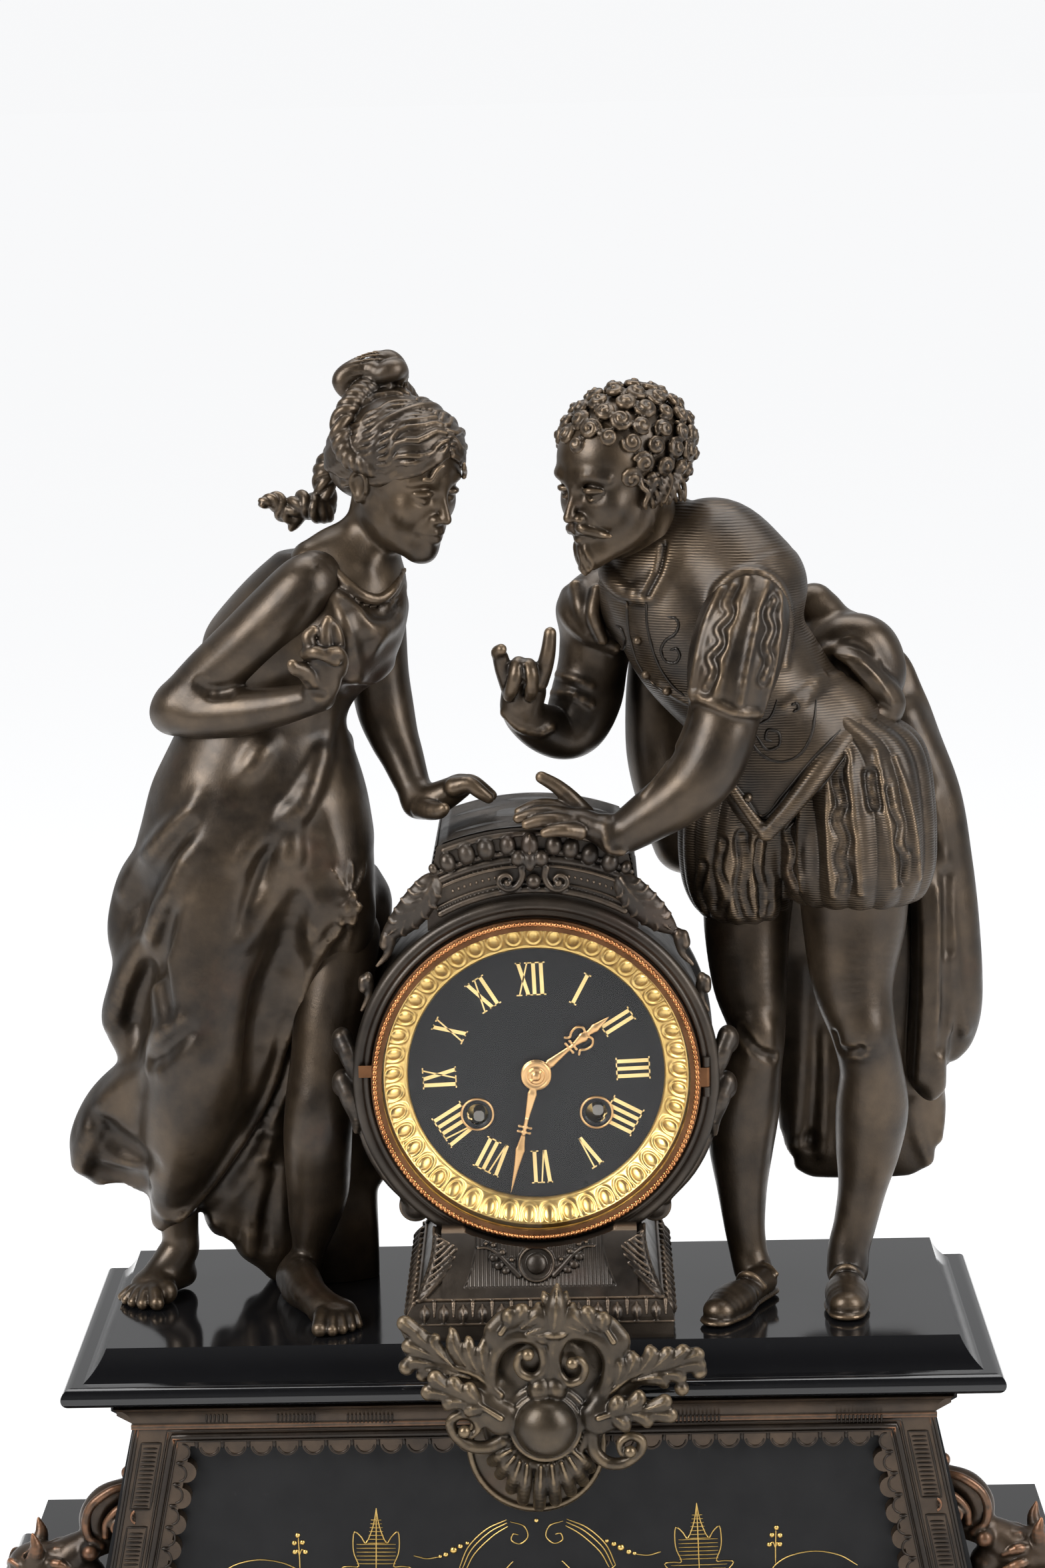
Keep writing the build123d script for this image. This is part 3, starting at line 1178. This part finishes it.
def winding_arbor(spot):
    """Barrel arbor with a pivot in each plate and a winding square behind the dial's hole."""
    rod(PLATE_FRONT_Y, BACK_OUTER_Y, spot, WINDING_PIVOT_RADIUS)
    rod(PLATE_INNER_Y + SEAT, BARREL_Y + BARREL_LENGTH + SEAT, spot, BARREL_ARBOR_RADIUS)
    with BuildSketch(front(PLATE_FRONT_Y, *spot)) as square:
        Rectangle(WINDING_SQUARE, WINDING_SQUARE)
        Circle(WINDING_PIVOT_RADIUS, mode=Mode.INTERSECT)
    extrude(square.sketch, amount=PLATE_FRONT_Y - DIAL_FACE_Y)


for side_name, side_spot, side_phase in (("going", GOING, GREAT_PHASE), ("strike", STRIKE, 0)):
    with BuildPart() as side_barrel:
        barrel(side_spot, side_phase)
    export(side_barrel, f"{side_name}_barrel")
    with BuildPart() as side_spring:
        mainspring(side_spot)
    export(side_spring, f"{side_name}_mainspring")
    with BuildPart() as side_arbor:
        winding_arbor(side_spot)
    export(side_arbor, f"{side_name}_winding_arbor")

# Striking train's pin wheel, with lifting pins and the notched count wheel behind the back plate
PIN_WHEEL_Y = INTERMEDIATE_Y
PIN_COUNT = 8
PIN_CIRCLE_SHARE = 0.75
with BuildPart() as pin_wheel:
    rod(PLATE_FRONT_Y, BACK_OUTER_Y + LAYER_GAP + WHEEL_THICKNESS, PIN, ARBOR_RADIUS)
    wheel(PIN_WHEEL_Y, PIN, PIN_WHEEL_TEETH, TRAIN_MODULE, 0, WHEEL_THICKNESS)
    pinion(GREAT_Y - PINION_LEAD, PIN, GREAT_PINION_TEETH, GREAT_MODULE, PIN_PINION_PHASE, PINION_LENGTH)
    with BuildSketch(front(PIN_WHEEL_Y + WHEEL_THICKNESS + LAYER_GAP, *PIN)):
        with PolarLocations(pitch_radius(PIN_WHEEL_TEETH, TRAIN_MODULE) * PIN_CIRCLE_SHARE, PIN_COUNT):
            Circle(STUD_RADIUS)
    extrude(amount=LAYER_GAP)
    with BuildSketch(front(BACK_OUTER_Y + LAYER_GAP + WHEEL_THICKNESS, *PIN)):
        Circle(COUNT_WHEEL_RADIUS)
        with PolarLocations(COUNT_WHEEL_RADIUS, COUNT_NOTCHES):
            Rectangle(WHEEL_THICKNESS * 2, WHEEL_THICKNESS, mode=Mode.SUBTRACT)
    extrude(amount=WHEEL_THICKNESS)
export(pin_wheel, "pin_wheel")

# Bell on its stand behind the movement
BELL = (BELL_X, BELL_Z)
BELL_SHOULDER_SHARE = 0.75
BELL_SHOULDER = BELL_RADIUS * BELL_SHOULDER_SHARE
BELL_RIM_Y = BACK_OUTER_Y + BELL_STANDOFF
BELL_CROWN_Y = BELL_RIM_Y + BELL_DEPTH
with BuildPart() as bell:
    with BuildSketch(Plane(origin=(CLOCK_X + BELL_X, 0, DIAL_Z + BELL_Z), x_dir=(0, 1, 0), z_dir=(1, 0, 0))):
        with BuildLine():
            Line((BELL_RIM_Y, BELL_RADIUS - BELL_WALL), (BELL_RIM_Y, BELL_RADIUS))
            ThreePointArc(
                (BELL_RIM_Y, BELL_RADIUS),
                (BELL_CROWN_Y - BELL_DEPTH / 4, BELL_SHOULDER),
                (BELL_CROWN_Y, BELL_POST_RADIUS),
            )
            Line((BELL_CROWN_Y, BELL_POST_RADIUS), (BELL_CROWN_Y - BELL_WALL, BELL_POST_RADIUS))
            ThreePointArc(
                (BELL_CROWN_Y - BELL_WALL, BELL_POST_RADIUS),
                (BELL_CROWN_Y - BELL_DEPTH / 4 - BELL_WALL, BELL_SHOULDER - BELL_WALL),
                (BELL_RIM_Y, BELL_RADIUS - BELL_WALL),
            )
        make_face()
    revolve(axis=Axis((CLOCK_X + BELL_X, 0, DIAL_Z + BELL_Z), (0, 1, 0)))
export(bell, "bell")

with BuildPart() as bell_stand:
    rod(BACK_OUTER_Y, BELL_CROWN_Y - BELL_WALL, BELL, BELL_POST_RADIUS + BELL_WALL / 2)
    rod(BACK_OUTER_Y, BELL_CROWN_Y + BELL_WALL / 2, BELL, BELL_POST_RADIUS)
export(bell_stand, "bell_stand")

# Hammer on its arbor, with its head beside the bell's rim
HAMMER_Y = BELL_RIM_Y - WHEEL_THICKNESS - LAYER_GAP
HAMMER_REACH = hypot(BELL_X - HAMMER_X, BELL_Z - HAMMER_Z)
HAMMER_AIM = degrees(atan2(BELL_X - HAMMER_X, BELL_Z - HAMMER_Z))
HAMMER_HEAD_Z = HAMMER_REACH - BELL_RADIUS - HAMMER_HEAD_RADIUS - 2 * SEAT
with BuildPart() as hammer:
    rod(PLATE_FRONT_Y, HAMMER_Y + WHEEL_THICKNESS, HAMMER, ARBOR_RADIUS)
    hammer_plane = Plane(
        origin=(CLOCK_X + HAMMER_X, HAMMER_Y + WHEEL_THICKNESS, DIAL_Z + HAMMER_Z),
        x_dir=(cos(radians(HAMMER_AIM)), 0, -sin(radians(HAMMER_AIM))),
        z_dir=(0, -1, 0),
    )
    with BuildSketch(hammer_plane):
        Circle(CRUTCH_WIDTH)
        Rectangle(CRUTCH_WIDTH, HAMMER_HEAD_Z, align=(Align.CENTER, Align.MIN))
        with Locations((0, HAMMER_HEAD_Z)):
            Circle(HAMMER_HEAD_RADIUS)
    extrude(amount=WHEEL_THICKNESS)
    with BuildSketch(hammer_plane):
        with Locations((0, HAMMER_HEAD_Z)):
            Circle(HAMMER_HEAD_RADIUS)
    extrude(amount=-HAMMER_HEAD_LENGTH)
export(hammer, "hammer")

# Straps from the sight ring to the back ring, and the screws that pull them
with BuildPart() as movement_straps:
    for side in (-1, 1):
        with BuildSketch(front(DRUM_BACK, 0, side * STRAP_CIRCLE)) as strap:
            Rectangle(STRAP_WIDTH, 2 * STRAP_SCREW_RADIUS + STRAP_THICKNESS)
        extrude(strap.sketch, amount=DRUM_BACK - DIAL_BACK_Y)
        screw = (0, side * STRAP_CIRCLE)
        rod(DRUM_BACK - STRAP_WIDTH, DRUM_BACK, screw, STRAP_SCREW_RADIUS, mode=Mode.SUBTRACT)
export(movement_straps, "movement_straps")

with BuildPart() as strap_screws:
    for side in (-1, 1):
        rod(DRUM_BACK - STRAP_WIDTH, RING_BACK_Y, (0, side * STRAP_CIRCLE), STRAP_SCREW_RADIUS)
        rod(RING_BACK_Y, RING_BACK_Y + SCREW_HEAD_HEIGHT, (0, side * STRAP_CIRCLE), SCREW_HEAD_RADIUS)
export(strap_screws, "strap_screws")


# Figures: places and widths are shares of the figure's height, from its standing point on the slab
def woman_at(x_share, y_share, z_share):
    return (WOMAN_X + x_share * WOMAN_HEIGHT, y_share * WOMAN_HEIGHT, TOP_Z + z_share * WOMAN_HEIGHT)


def man_at(x_share, y_share, z_share):
    return (MAN_X + x_share * MAN_HEIGHT, y_share * MAN_HEIGHT, TOP_Z + z_share * MAN_HEIGHT)


def hood_top(x):
    """Height of the hood's arched top at this place across the clock."""
    return DIAL_Z + sqrt(HOOD_RADIUS**2 - (x - CLOCK_X) ** 2)


def shares_limb(at, height, stations):
    """Limb through stations of place and radius shares."""
    points = [at(*station[:3]) for station in stations]
    radii = [station[3] * height for station in stations]
    limb(points, radii)


def draped_loft(at, height, sections, folds, fold_share):
    """Loft through level sections of wavy outline: centre, level, half width and half depth shares."""
    faces = []
    for x_share, y_share, z_share, wide_share, deep_share in sections:
        points = []
        for step in range(4 * folds):
            angle = 2 * pi * step / (4 * folds)
            swell = 1 + fold_share * cos(folds * angle)
            reach = height * swell
            points.append((wide_share * reach * cos(angle), deep_share * reach * sin(angle)))
        with BuildSketch(Plane(origin=at(x_share, y_share, z_share))) as section:
            with BuildLine() as outline:
                Spline(*points, periodic=True)
            make_face(outline.edges())
        faces.append(section.sketch)
    loft(faces)


def keep_largest(block):
    """The block's largest solid, without the crumbs that cutting leaves."""
    return block.part.solids().sort_by(SortBy.VOLUME)[-1]


# Woman: bare left leg and right foot
WOMAN_LEG_SHARES = (
    (0.05, 0.0, 0.44, 0.046),
    (0.05, -0.008, 0.36, 0.04),
    (0.045, -0.018, 0.29, 0.03),
    (0.046, 0.0, 0.2, 0.035),
    (0.038, 0.0, 0.11, 0.022),
    (0.03, 0.0, 0.045, 0.018),
)
WOMAN_LEFT_FOOT_SHARES = (
    (0.012, 0.022, 0.022, 0.02),
    (0.035, -0.03, 0.026, 0.021),
    (0.055, -0.11, 0.014, 0.013),
)
WOMAN_RIGHT_FOOT_SHARES = (
    (-0.105, 0.05, 0.11, 0.024),
    (-0.112, 0.045, 0.05, 0.021),
    (-0.124, 0.02, 0.024, 0.022),
    (-0.145, -0.02, 0.016, 0.015),
)
slab_cut = Pos(0, 0, TOP_Z - SLAB_WIDTH / 2) * Box(2 * SLAB_WIDTH, 2 * SLAB_WIDTH, SLAB_WIDTH)
with BuildPart() as woman_left_leg:
    shares_limb(woman_at, WOMAN_HEIGHT, WOMAN_LEG_SHARES)
    shares_limb(woman_at, WOMAN_HEIGHT, WOMAN_LEFT_FOOT_SHARES)
    add(slab_cut, mode=Mode.SUBTRACT)
export(woman_left_leg, "woman_left_leg")

with BuildPart() as woman_right_foot:
    shares_limb(woman_at, WOMAN_HEIGHT, WOMAN_RIGHT_FOOT_SHARES)
    add(slab_cut, mode=Mode.SUBTRACT)
export(woman_right_foot, "woman_right_foot")

# Woman: arms
WOMAN_RIGHT_UPPER_SHARES = (
    (0.05, -0.04, 0.765, 0.034),
    (-0.02, -0.04, 0.7, 0.031),
    (-0.09, -0.03, 0.643, 0.025),
)
WOMAN_RIGHT_FORE_SHARES = (
    (-0.09, -0.03, 0.643, 0.025),
    (-0.02, -0.06, 0.648, 0.024),
    (0.05, -0.1, 0.66, 0.016),
)
WOMAN_RIGHT_HAND_SHARES = (
    (0.05, -0.1, 0.655, 0.016),
    (0.06, -0.105, 0.69, 0.021),
    (0.072, -0.11, 0.74, 0.009),
)
WOMAN_LEFT_UPPER_SHARES = (
    (0.125, 0.04, 0.75, 0.031),
    (0.14, 0.045, 0.69, 0.029),
    (0.136, 0.045, 0.635, 0.024),
)
WOMAN_WRIST_SHARE = 0.016
with BuildPart() as woman_right_arm:
    shares_limb(woman_at, WOMAN_HEIGHT, WOMAN_RIGHT_UPPER_SHARES)
    shares_limb(woman_at, WOMAN_HEIGHT, WOMAN_RIGHT_FORE_SHARES)
    shares_limb(woman_at, WOMAN_HEIGHT, WOMAN_RIGHT_HAND_SHARES)
    elbow_shares = WOMAN_RIGHT_FORE_SHARES[0]
    ball(woman_at(*elbow_shares[:3]), JOINT_SHARE * elbow_shares[3] * WOMAN_HEIGHT)
    ball(woman_at(*WOMAN_RIGHT_HAND_SHARES[0][:3]), JOINT_SHARE * WOMAN_WRIST_SHARE * WOMAN_HEIGHT)
export(woman_right_arm, "woman_right_arm")

WOMAN_WRIST_X_SHARE = 1.12
WOMAN_FINGER_X_SHARE = 0.4
with BuildPart() as woman_left_arm:
    shares_limb(woman_at, WOMAN_HEIGHT, WOMAN_LEFT_UPPER_SHARES)
    elbow = woman_at(*WOMAN_LEFT_UPPER_SHARES[-1][:3])
    elbow_radius = WOMAN_LEFT_UPPER_SHARES[-1][3] * WOMAN_HEIGHT
    wrist_radius = WOMAN_WRIST_SHARE * WOMAN_HEIGHT
    wrist_x = CLOCK_X - WOMAN_WRIST_X_SHARE * HOOD_TOP_WIDTH / 2
    finger_x = CLOCK_X - WOMAN_FINGER_X_SHARE * HOOD_TOP_WIDTH / 2
    wrist = (wrist_x, 0, hood_top(wrist_x) + 2 * wrist_radius)
    fingers = (finger_x, -2 * wrist_radius, hood_top(finger_x) + wrist_radius)
    ball(elbow, JOINT_SHARE * elbow_radius)
    limb([elbow, wrist], [elbow_radius, wrist_radius])
    ball(wrist, JOINT_SHARE * wrist_radius)
    limb([wrist, fingers], [wrist_radius, wrist_radius / 2])
export(woman_left_arm, "woman_left_arm")

# Woman: head with neck, rolled hair, topknot and falling lock
WOMAN_NECK_SHARES = ((0.1, 0.0, 0.775, 0.034), (0.112, -0.002, 0.81, 0.029), (0.135, -0.008, 0.85, 0.03))
WOMAN_SKULL_SHARES = (
    (0.17, -0.032, 0.824, 0.03),
    (0.164, -0.026, 0.845, 0.046),
    (0.15, -0.015, 0.875, 0.056),
    (0.135, -0.002, 0.91, 0.052),
    (0.125, 0.006, 0.94, 0.025),
)
WOMAN_HAIR_SHARES = ((0.11, 0.008, 0.895, 0.058), (0.125, 0.015, 0.955, 0.036), (0.135, 0.02, 0.98, 0.02))
WOMAN_LOCK_SHARES = ((0.09, 0.02, 0.86, 0.022), (0.06, 0.035, 0.85, 0.022), (0.01, 0.045, 0.845, 0.012))
with BuildPart() as woman_head:
    shares_limb(woman_at, WOMAN_HEIGHT, WOMAN_NECK_SHARES)
    shares_limb(woman_at, WOMAN_HEIGHT, WOMAN_SKULL_SHARES)
    shares_limb(woman_at, WOMAN_HEIGHT, WOMAN_LOCK_SHARES)
    for station in WOMAN_HAIR_SHARES:
        ball(woman_at(*station[:3]), station[3] * WOMAN_HEIGHT)
export(woman_head, "woman_head")

# Woman: dress from the shoulders to the slab, cut round the limbs and the head
WOMAN_DRESS_SHARES = (
    (-0.119, 0.035, 0.15, 0.087, 0.045),
    (-0.095, 0.03, 0.2, 0.087, 0.05),
    (-0.075, 0.026, 0.25, 0.085, 0.06),
    (-0.066, 0.025, 0.3, 0.103, 0.068),
    (-0.049, 0.023, 0.35, 0.112, 0.078),
    (-0.03, 0.02, 0.435, 0.129, 0.087),
    (-0.02, 0.018, 0.48, 0.125, 0.089),
    (-0.016, 0.015, 0.525, 0.113, 0.086),
    (-0.005, 0.013, 0.595, 0.089, 0.076),
    (0.005, 0.008, 0.645, 0.083, 0.068),
    (0.02, 0.005, 0.67, 0.093, 0.07),
    (0.036, 0.005, 0.71, 0.102, 0.075),
    (0.052, 0.008, 0.75, 0.092, 0.067),
    (0.066, 0.006, 0.79, 0.064, 0.046),
)
WOMAN_TRAIN_SHARES = (
    (0.049, 0.073, 0.0, 0.05, 0.036),
    (0.032, 0.073, 0.04, 0.065, 0.04),
    (0.019, 0.073, 0.09, 0.076, 0.043),
    (0.03, 0.073, 0.16, 0.068, 0.043),
    (0.036, 0.071, 0.25, 0.063, 0.045),
    (0.045, 0.068, 0.335, 0.064, 0.05),
    (0.052, 0.06, 0.42, 0.067, 0.054),
    (0.042, 0.055, 0.46, 0.06, 0.054),
)
WOMAN_COLUMN_SHARES = (
    (-0.059, -0.02, 0.466, 0.067),
    (-0.073, -0.038, 0.32, 0.052),
    (-0.091, -0.025, 0.23, 0.047),
    (-0.102, -0.01, 0.18, 0.044),
    (-0.116, 0.02, 0.1, 0.03),
)
WOMAN_BILLOW_SHARES = (
    (-0.116, 0.005, 0.25, 0.03),
    (-0.151, 0.025, 0.229, 0.033),
    (-0.182, 0.04, 0.198, 0.033),
    (-0.204, 0.045, 0.166, 0.028),
    (-0.211, 0.045, 0.143, 0.02),
)
DRESS_FOLDS = 9
DRESS_FOLD_SHARE = 0.045
with BuildPart() as dress_block:
    draped_loft(woman_at, WOMAN_HEIGHT, WOMAN_DRESS_SHARES, DRESS_FOLDS, DRESS_FOLD_SHARE)
    draped_loft(woman_at, WOMAN_HEIGHT, WOMAN_TRAIN_SHARES, DRESS_FOLDS, DRESS_FOLD_SHARE)
    shares_limb(woman_at, WOMAN_HEIGHT, WOMAN_COLUMN_SHARES)
    shares_limb(woman_at, WOMAN_HEIGHT, WOMAN_BILLOW_SHARES)
    rod(-PEDESTAL_FRONT, PEDESTAL_FRONT, (0, 0), DRUM_RADIUS + SEAT, mode=Mode.SUBTRACT)
    for piece in (woman_left_leg, woman_right_foot, woman_right_arm, woman_left_arm, woman_head):
        add(piece.part, mode=Mode.SUBTRACT)
with BuildPart() as woman_dress:
    add(keep_largest(dress_block))
export(woman_dress, "woman_dress")

# Man: legs with shoes
MAN_RIGHT_LEG_SHARES = (
    (-0.033, 0.03, 0.45, 0.046),
    (-0.038, 0.01, 0.37, 0.042),
    (-0.041, -0.005, 0.29, 0.036),
    (-0.05, 0.008, 0.2, 0.039),
    (-0.055, 0.003, 0.1, 0.026),
    (-0.056, 0.0, 0.03, 0.022),
)
MAN_RIGHT_SHOE_SHARES = (
    (-0.03, -0.01, 0.02, 0.022),
    (-0.055, -0.06, 0.022, 0.024),
    (-0.083, -0.118, 0.012, 0.014),
)
MAN_LEFT_LEG_SHARES = (
    (0.072, -0.005, 0.45, 0.046),
    (0.07, -0.025, 0.37, 0.042),
    (0.068, -0.042, 0.29, 0.036),
    (0.073, -0.01, 0.2, 0.039),
    (0.066, -0.008, 0.1, 0.026),
    (0.064, -0.01, 0.03, 0.022),
)
MAN_LEFT_SHOE_SHARES = (
    (0.06, 0.005, 0.02, 0.022),
    (0.056, -0.05, 0.022, 0.024),
    (0.05, -0.108, 0.012, 0.014),
)
with BuildPart() as man_right_leg:
    shares_limb(man_at, MAN_HEIGHT, MAN_RIGHT_LEG_SHARES)
    shares_limb(man_at, MAN_HEIGHT, MAN_RIGHT_SHOE_SHARES)
    add(slab_cut, mode=Mode.SUBTRACT)
export(man_right_leg, "man_right_leg")

with BuildPart() as man_left_leg:
    shares_limb(man_at, MAN_HEIGHT, MAN_LEFT_LEG_SHARES)
    shares_limb(man_at, MAN_HEIGHT, MAN_LEFT_SHOE_SHARES)
    add(slab_cut, mode=Mode.SUBTRACT)
export(man_left_leg, "man_left_leg")

# Man: puffed sleeves, forearms and hands
MAN_RIGHT_UPPER_SHARES = (
    (-0.165, 0.07, 0.76, 0.045),
    (-0.2, 0.07, 0.69, 0.047),
    (-0.215, 0.06, 0.61, 0.03),
)
MAN_RIGHT_FORE_SHARES = (
    (-0.215, 0.06, 0.61, 0.03),
    (-0.245, 0.03, 0.628, 0.028),
    (-0.268, 0.0, 0.648, 0.018),
)
MAN_RIGHT_HAND_SHARES = (
    (-0.268, 0.0, 0.648, 0.018),
    (-0.275, -0.01, 0.68, 0.023),
    (-0.265, -0.018, 0.735, 0.009),
)
MAN_LEFT_UPPER_SHARES = (
    (-0.05, -0.062, 0.775, 0.045),
    (-0.05, -0.09, 0.7, 0.062),
    (-0.068, -0.1, 0.6, 0.036),
)
MAN_WRIST_SHARE = 0.02
with BuildPart() as man_right_arm:
    shares_limb(man_at, MAN_HEIGHT, MAN_RIGHT_UPPER_SHARES)
    shares_limb(man_at, MAN_HEIGHT, MAN_RIGHT_FORE_SHARES)
    shares_limb(man_at, MAN_HEIGHT, MAN_RIGHT_HAND_SHARES)
    ball(man_at(*MAN_RIGHT_FORE_SHARES[0][:3]), JOINT_SHARE * MAN_RIGHT_FORE_SHARES[0][3] * MAN_HEIGHT)
    ball(man_at(*MAN_RIGHT_HAND_SHARES[0][:3]), JOINT_SHARE * MAN_RIGHT_HAND_SHARES[0][3] * MAN_HEIGHT)
export(man_right_arm, "man_right_arm")

MAN_WRIST_X_SHARE = 1.0
MAN_FINGER_X_SHARE = -0.15
MAN_WRIST_Y_SHARE = 0.85
MAN_WRIST_RISE_SHARE = 1.5
with BuildPart() as man_left_arm:
    shares_limb(man_at, MAN_HEIGHT, MAN_LEFT_UPPER_SHARES)
    elbow = man_at(*MAN_LEFT_UPPER_SHARES[-1][:3])
    elbow_radius = MAN_LEFT_UPPER_SHARES[-1][3] * MAN_HEIGHT
    wrist_radius = MAN_WRIST_SHARE * MAN_HEIGHT
    wrist_x = CLOCK_X + MAN_WRIST_X_SHARE * HOOD_TOP_WIDTH / 2
    finger_x = CLOCK_X + MAN_FINGER_X_SHARE * HOOD_TOP_WIDTH / 2
    wrist_y = -MAN_WRIST_Y_SHARE * DRUM_FRONT
    wrist = (wrist_x, wrist_y, hood_top(wrist_x) + MAN_WRIST_RISE_SHARE * wrist_radius)
    fingers = (finger_x, wrist_y + wrist_radius, hood_top(finger_x) + wrist_radius)
    ball(elbow, JOINT_SHARE * elbow_radius)
    limb([elbow, wrist], [elbow_radius, wrist_radius])
    ball(wrist, JOINT_SHARE * wrist_radius)
    limb([wrist, fingers], [wrist_radius, wrist_radius / 2])
export(man_left_arm, "man_left_arm")

# Man: head with neck, curled hair and beard
MAN_NECK_SHARES = ((-0.125, 0.005, 0.775, 0.036), (-0.13, 0.003, 0.81, 0.035), (-0.15, 0.0, 0.86, 0.034))
MAN_SKULL_SHARES = (
    (-0.212, -0.034, 0.806, 0.034),
    (-0.203, -0.028, 0.832, 0.048),
    (-0.188, -0.02, 0.868, 0.056),
    (-0.172, -0.01, 0.905, 0.056),
    (-0.16, -0.004, 0.945, 0.036),
)
MAN_HAIR_SHARES = ((-0.165, -0.002, 0.93, 0.07), (-0.14, 0.006, 0.89, 0.058))
with BuildPart() as man_head:
    shares_limb(man_at, MAN_HEIGHT, MAN_NECK_SHARES)
    shares_limb(man_at, MAN_HEIGHT, MAN_SKULL_SHARES)
    for station in MAN_HAIR_SHARES:
        ball(man_at(*station[:3]), station[3] * MAN_HEIGHT)
export(man_head, "man_head")

# Man: trunk hose, doublet and cape, each cut round the pieces before it
MAN_HOSE_SHARES = (
    (0.027, 0.012, 0.415, 0.1, 0.07),
    (0.027, 0.014, 0.45, 0.125, 0.085),
    (0.032, 0.016, 0.5, 0.12, 0.085),
    (0.034, 0.018, 0.545, 0.095, 0.075),
    (0.03, 0.018, 0.57, 0.07, 0.06),
)
MAN_DOUBLET_SHARES = (
    (0.03, 0.02, 0.545, 0.078),
    (-0.012, 0.016, 0.61, 0.068),
    (-0.06, 0.01, 0.675, 0.074),
    (-0.1, 0.006, 0.74, 0.076),
    (-0.125, 0.004, 0.785, 0.045),
)
MAN_CAPE_SHARES = (
    (0.085, 0.111, 0.105, 0.082, 0.018),
    (0.083, 0.111, 0.14, 0.088, 0.022),
    (0.087, 0.111, 0.21, 0.094, 0.025),
    (0.094, 0.111, 0.3, 0.1, 0.027),
    (0.095, 0.111, 0.405, 0.1, 0.027),
    (0.092, 0.109, 0.505, 0.094, 0.027),
    (0.087, 0.1, 0.6, 0.082, 0.027),
    (0.081, 0.08, 0.67, 0.066, 0.03),
)
MAN_CAPE_PANEL_SHARES = (
    (-0.02, 0.108, 0.46, 0.11, 0.02),
    (-0.025, 0.105, 0.56, 0.118, 0.024),
    (-0.035, 0.1, 0.64, 0.112, 0.022),
    (-0.045, 0.09, 0.7, 0.09, 0.02),
)
MAN_CAPE_ROLL_SHARES = (
    (0.13, 0.088, 0.612, 0.028),
    (0.159, 0.093, 0.535, 0.034),
    (0.174, 0.096, 0.452, 0.034),
    (0.182, 0.096, 0.374, 0.034),
    (0.188, 0.096, 0.3, 0.031),
    (0.188, 0.096, 0.26, 0.023),
)
MAN_CAPE_STRIP_SHARES = (
    (-0.14, 0.093, 0.68, 0.018),
    (-0.135, 0.098, 0.63, 0.031),
    (-0.13, 0.103, 0.575, 0.036),
    (-0.119, 0.109, 0.52, 0.038),
    (-0.108, 0.109, 0.48, 0.035),
)
MAN_BOW_PUFF_SHARES = (
    (0.045, 0.041, 0.703, 0.023),
    (0.067, 0.036, 0.711, 0.028),
    (0.09, 0.036, 0.703, 0.031),
    (0.099, 0.039, 0.675, 0.031),
    (0.094, 0.041, 0.652, 0.028),
)
MAN_BOW_TAIL_SHARES = (
    (0.047, 0.016, 0.699, 0.014),
    (0.069, 0.005, 0.689, 0.017),
    (0.091, 0.005, 0.669, 0.018),
    (0.108, 0.01, 0.649, 0.018),
    (0.111, 0.016, 0.637, 0.016),
)
MAN_BOW_FALL_SHARES = (
    (0.033, 0.067, 0.745, 0.023),
    (0.046, 0.064, 0.725, 0.025),
    (0.069, 0.067, 0.706, 0.031),
    (0.085, 0.078, 0.658, 0.036),
    (0.082, 0.088, 0.613, 0.036),
)
CAPE_FOLDS = 7
CAPE_FOLD_SHARE = 0.05
with BuildPart() as hose_block:
    draped_loft(man_at, MAN_HEIGHT, MAN_HOSE_SHARES, DRESS_FOLDS, DRESS_FOLD_SHARE)
    for piece in (man_right_leg, man_left_leg):
        add(piece.part, mode=Mode.SUBTRACT)
with BuildPart() as man_trunk_hose:
    add(keep_largest(hose_block))
export(man_trunk_hose, "man_trunk_hose")

with BuildPart() as doublet_block:
    shares_limb(man_at, MAN_HEIGHT, MAN_DOUBLET_SHARES)
    for piece in (man_trunk_hose, man_right_arm, man_left_arm, man_head):
        add(piece.part, mode=Mode.SUBTRACT)
with BuildPart() as man_doublet:
    add(keep_largest(doublet_block))
export(man_doublet, "man_doublet")

with BuildPart() as cape_block:
    draped_loft(man_at, MAN_HEIGHT, MAN_CAPE_SHARES, CAPE_FOLDS, CAPE_FOLD_SHARE)
    draped_loft(man_at, MAN_HEIGHT, MAN_CAPE_PANEL_SHARES, CAPE_FOLDS, CAPE_FOLD_SHARE)
    for stations in (MAN_CAPE_ROLL_SHARES, MAN_CAPE_STRIP_SHARES, MAN_BOW_FALL_SHARES):
        shares_limb(man_at, MAN_HEIGHT, stations)
    for stations in (MAN_BOW_PUFF_SHARES, MAN_BOW_TAIL_SHARES):
        shares_limb(man_at, MAN_HEIGHT, stations)
    for piece in (man_trunk_hose, man_doublet, man_right_leg, man_left_leg, man_left_arm, man_right_arm):
        add(piece.part, mode=Mode.SUBTRACT)
with BuildPart() as man_cape:
    add(keep_largest(cape_block))
export(man_cape, "man_cape")
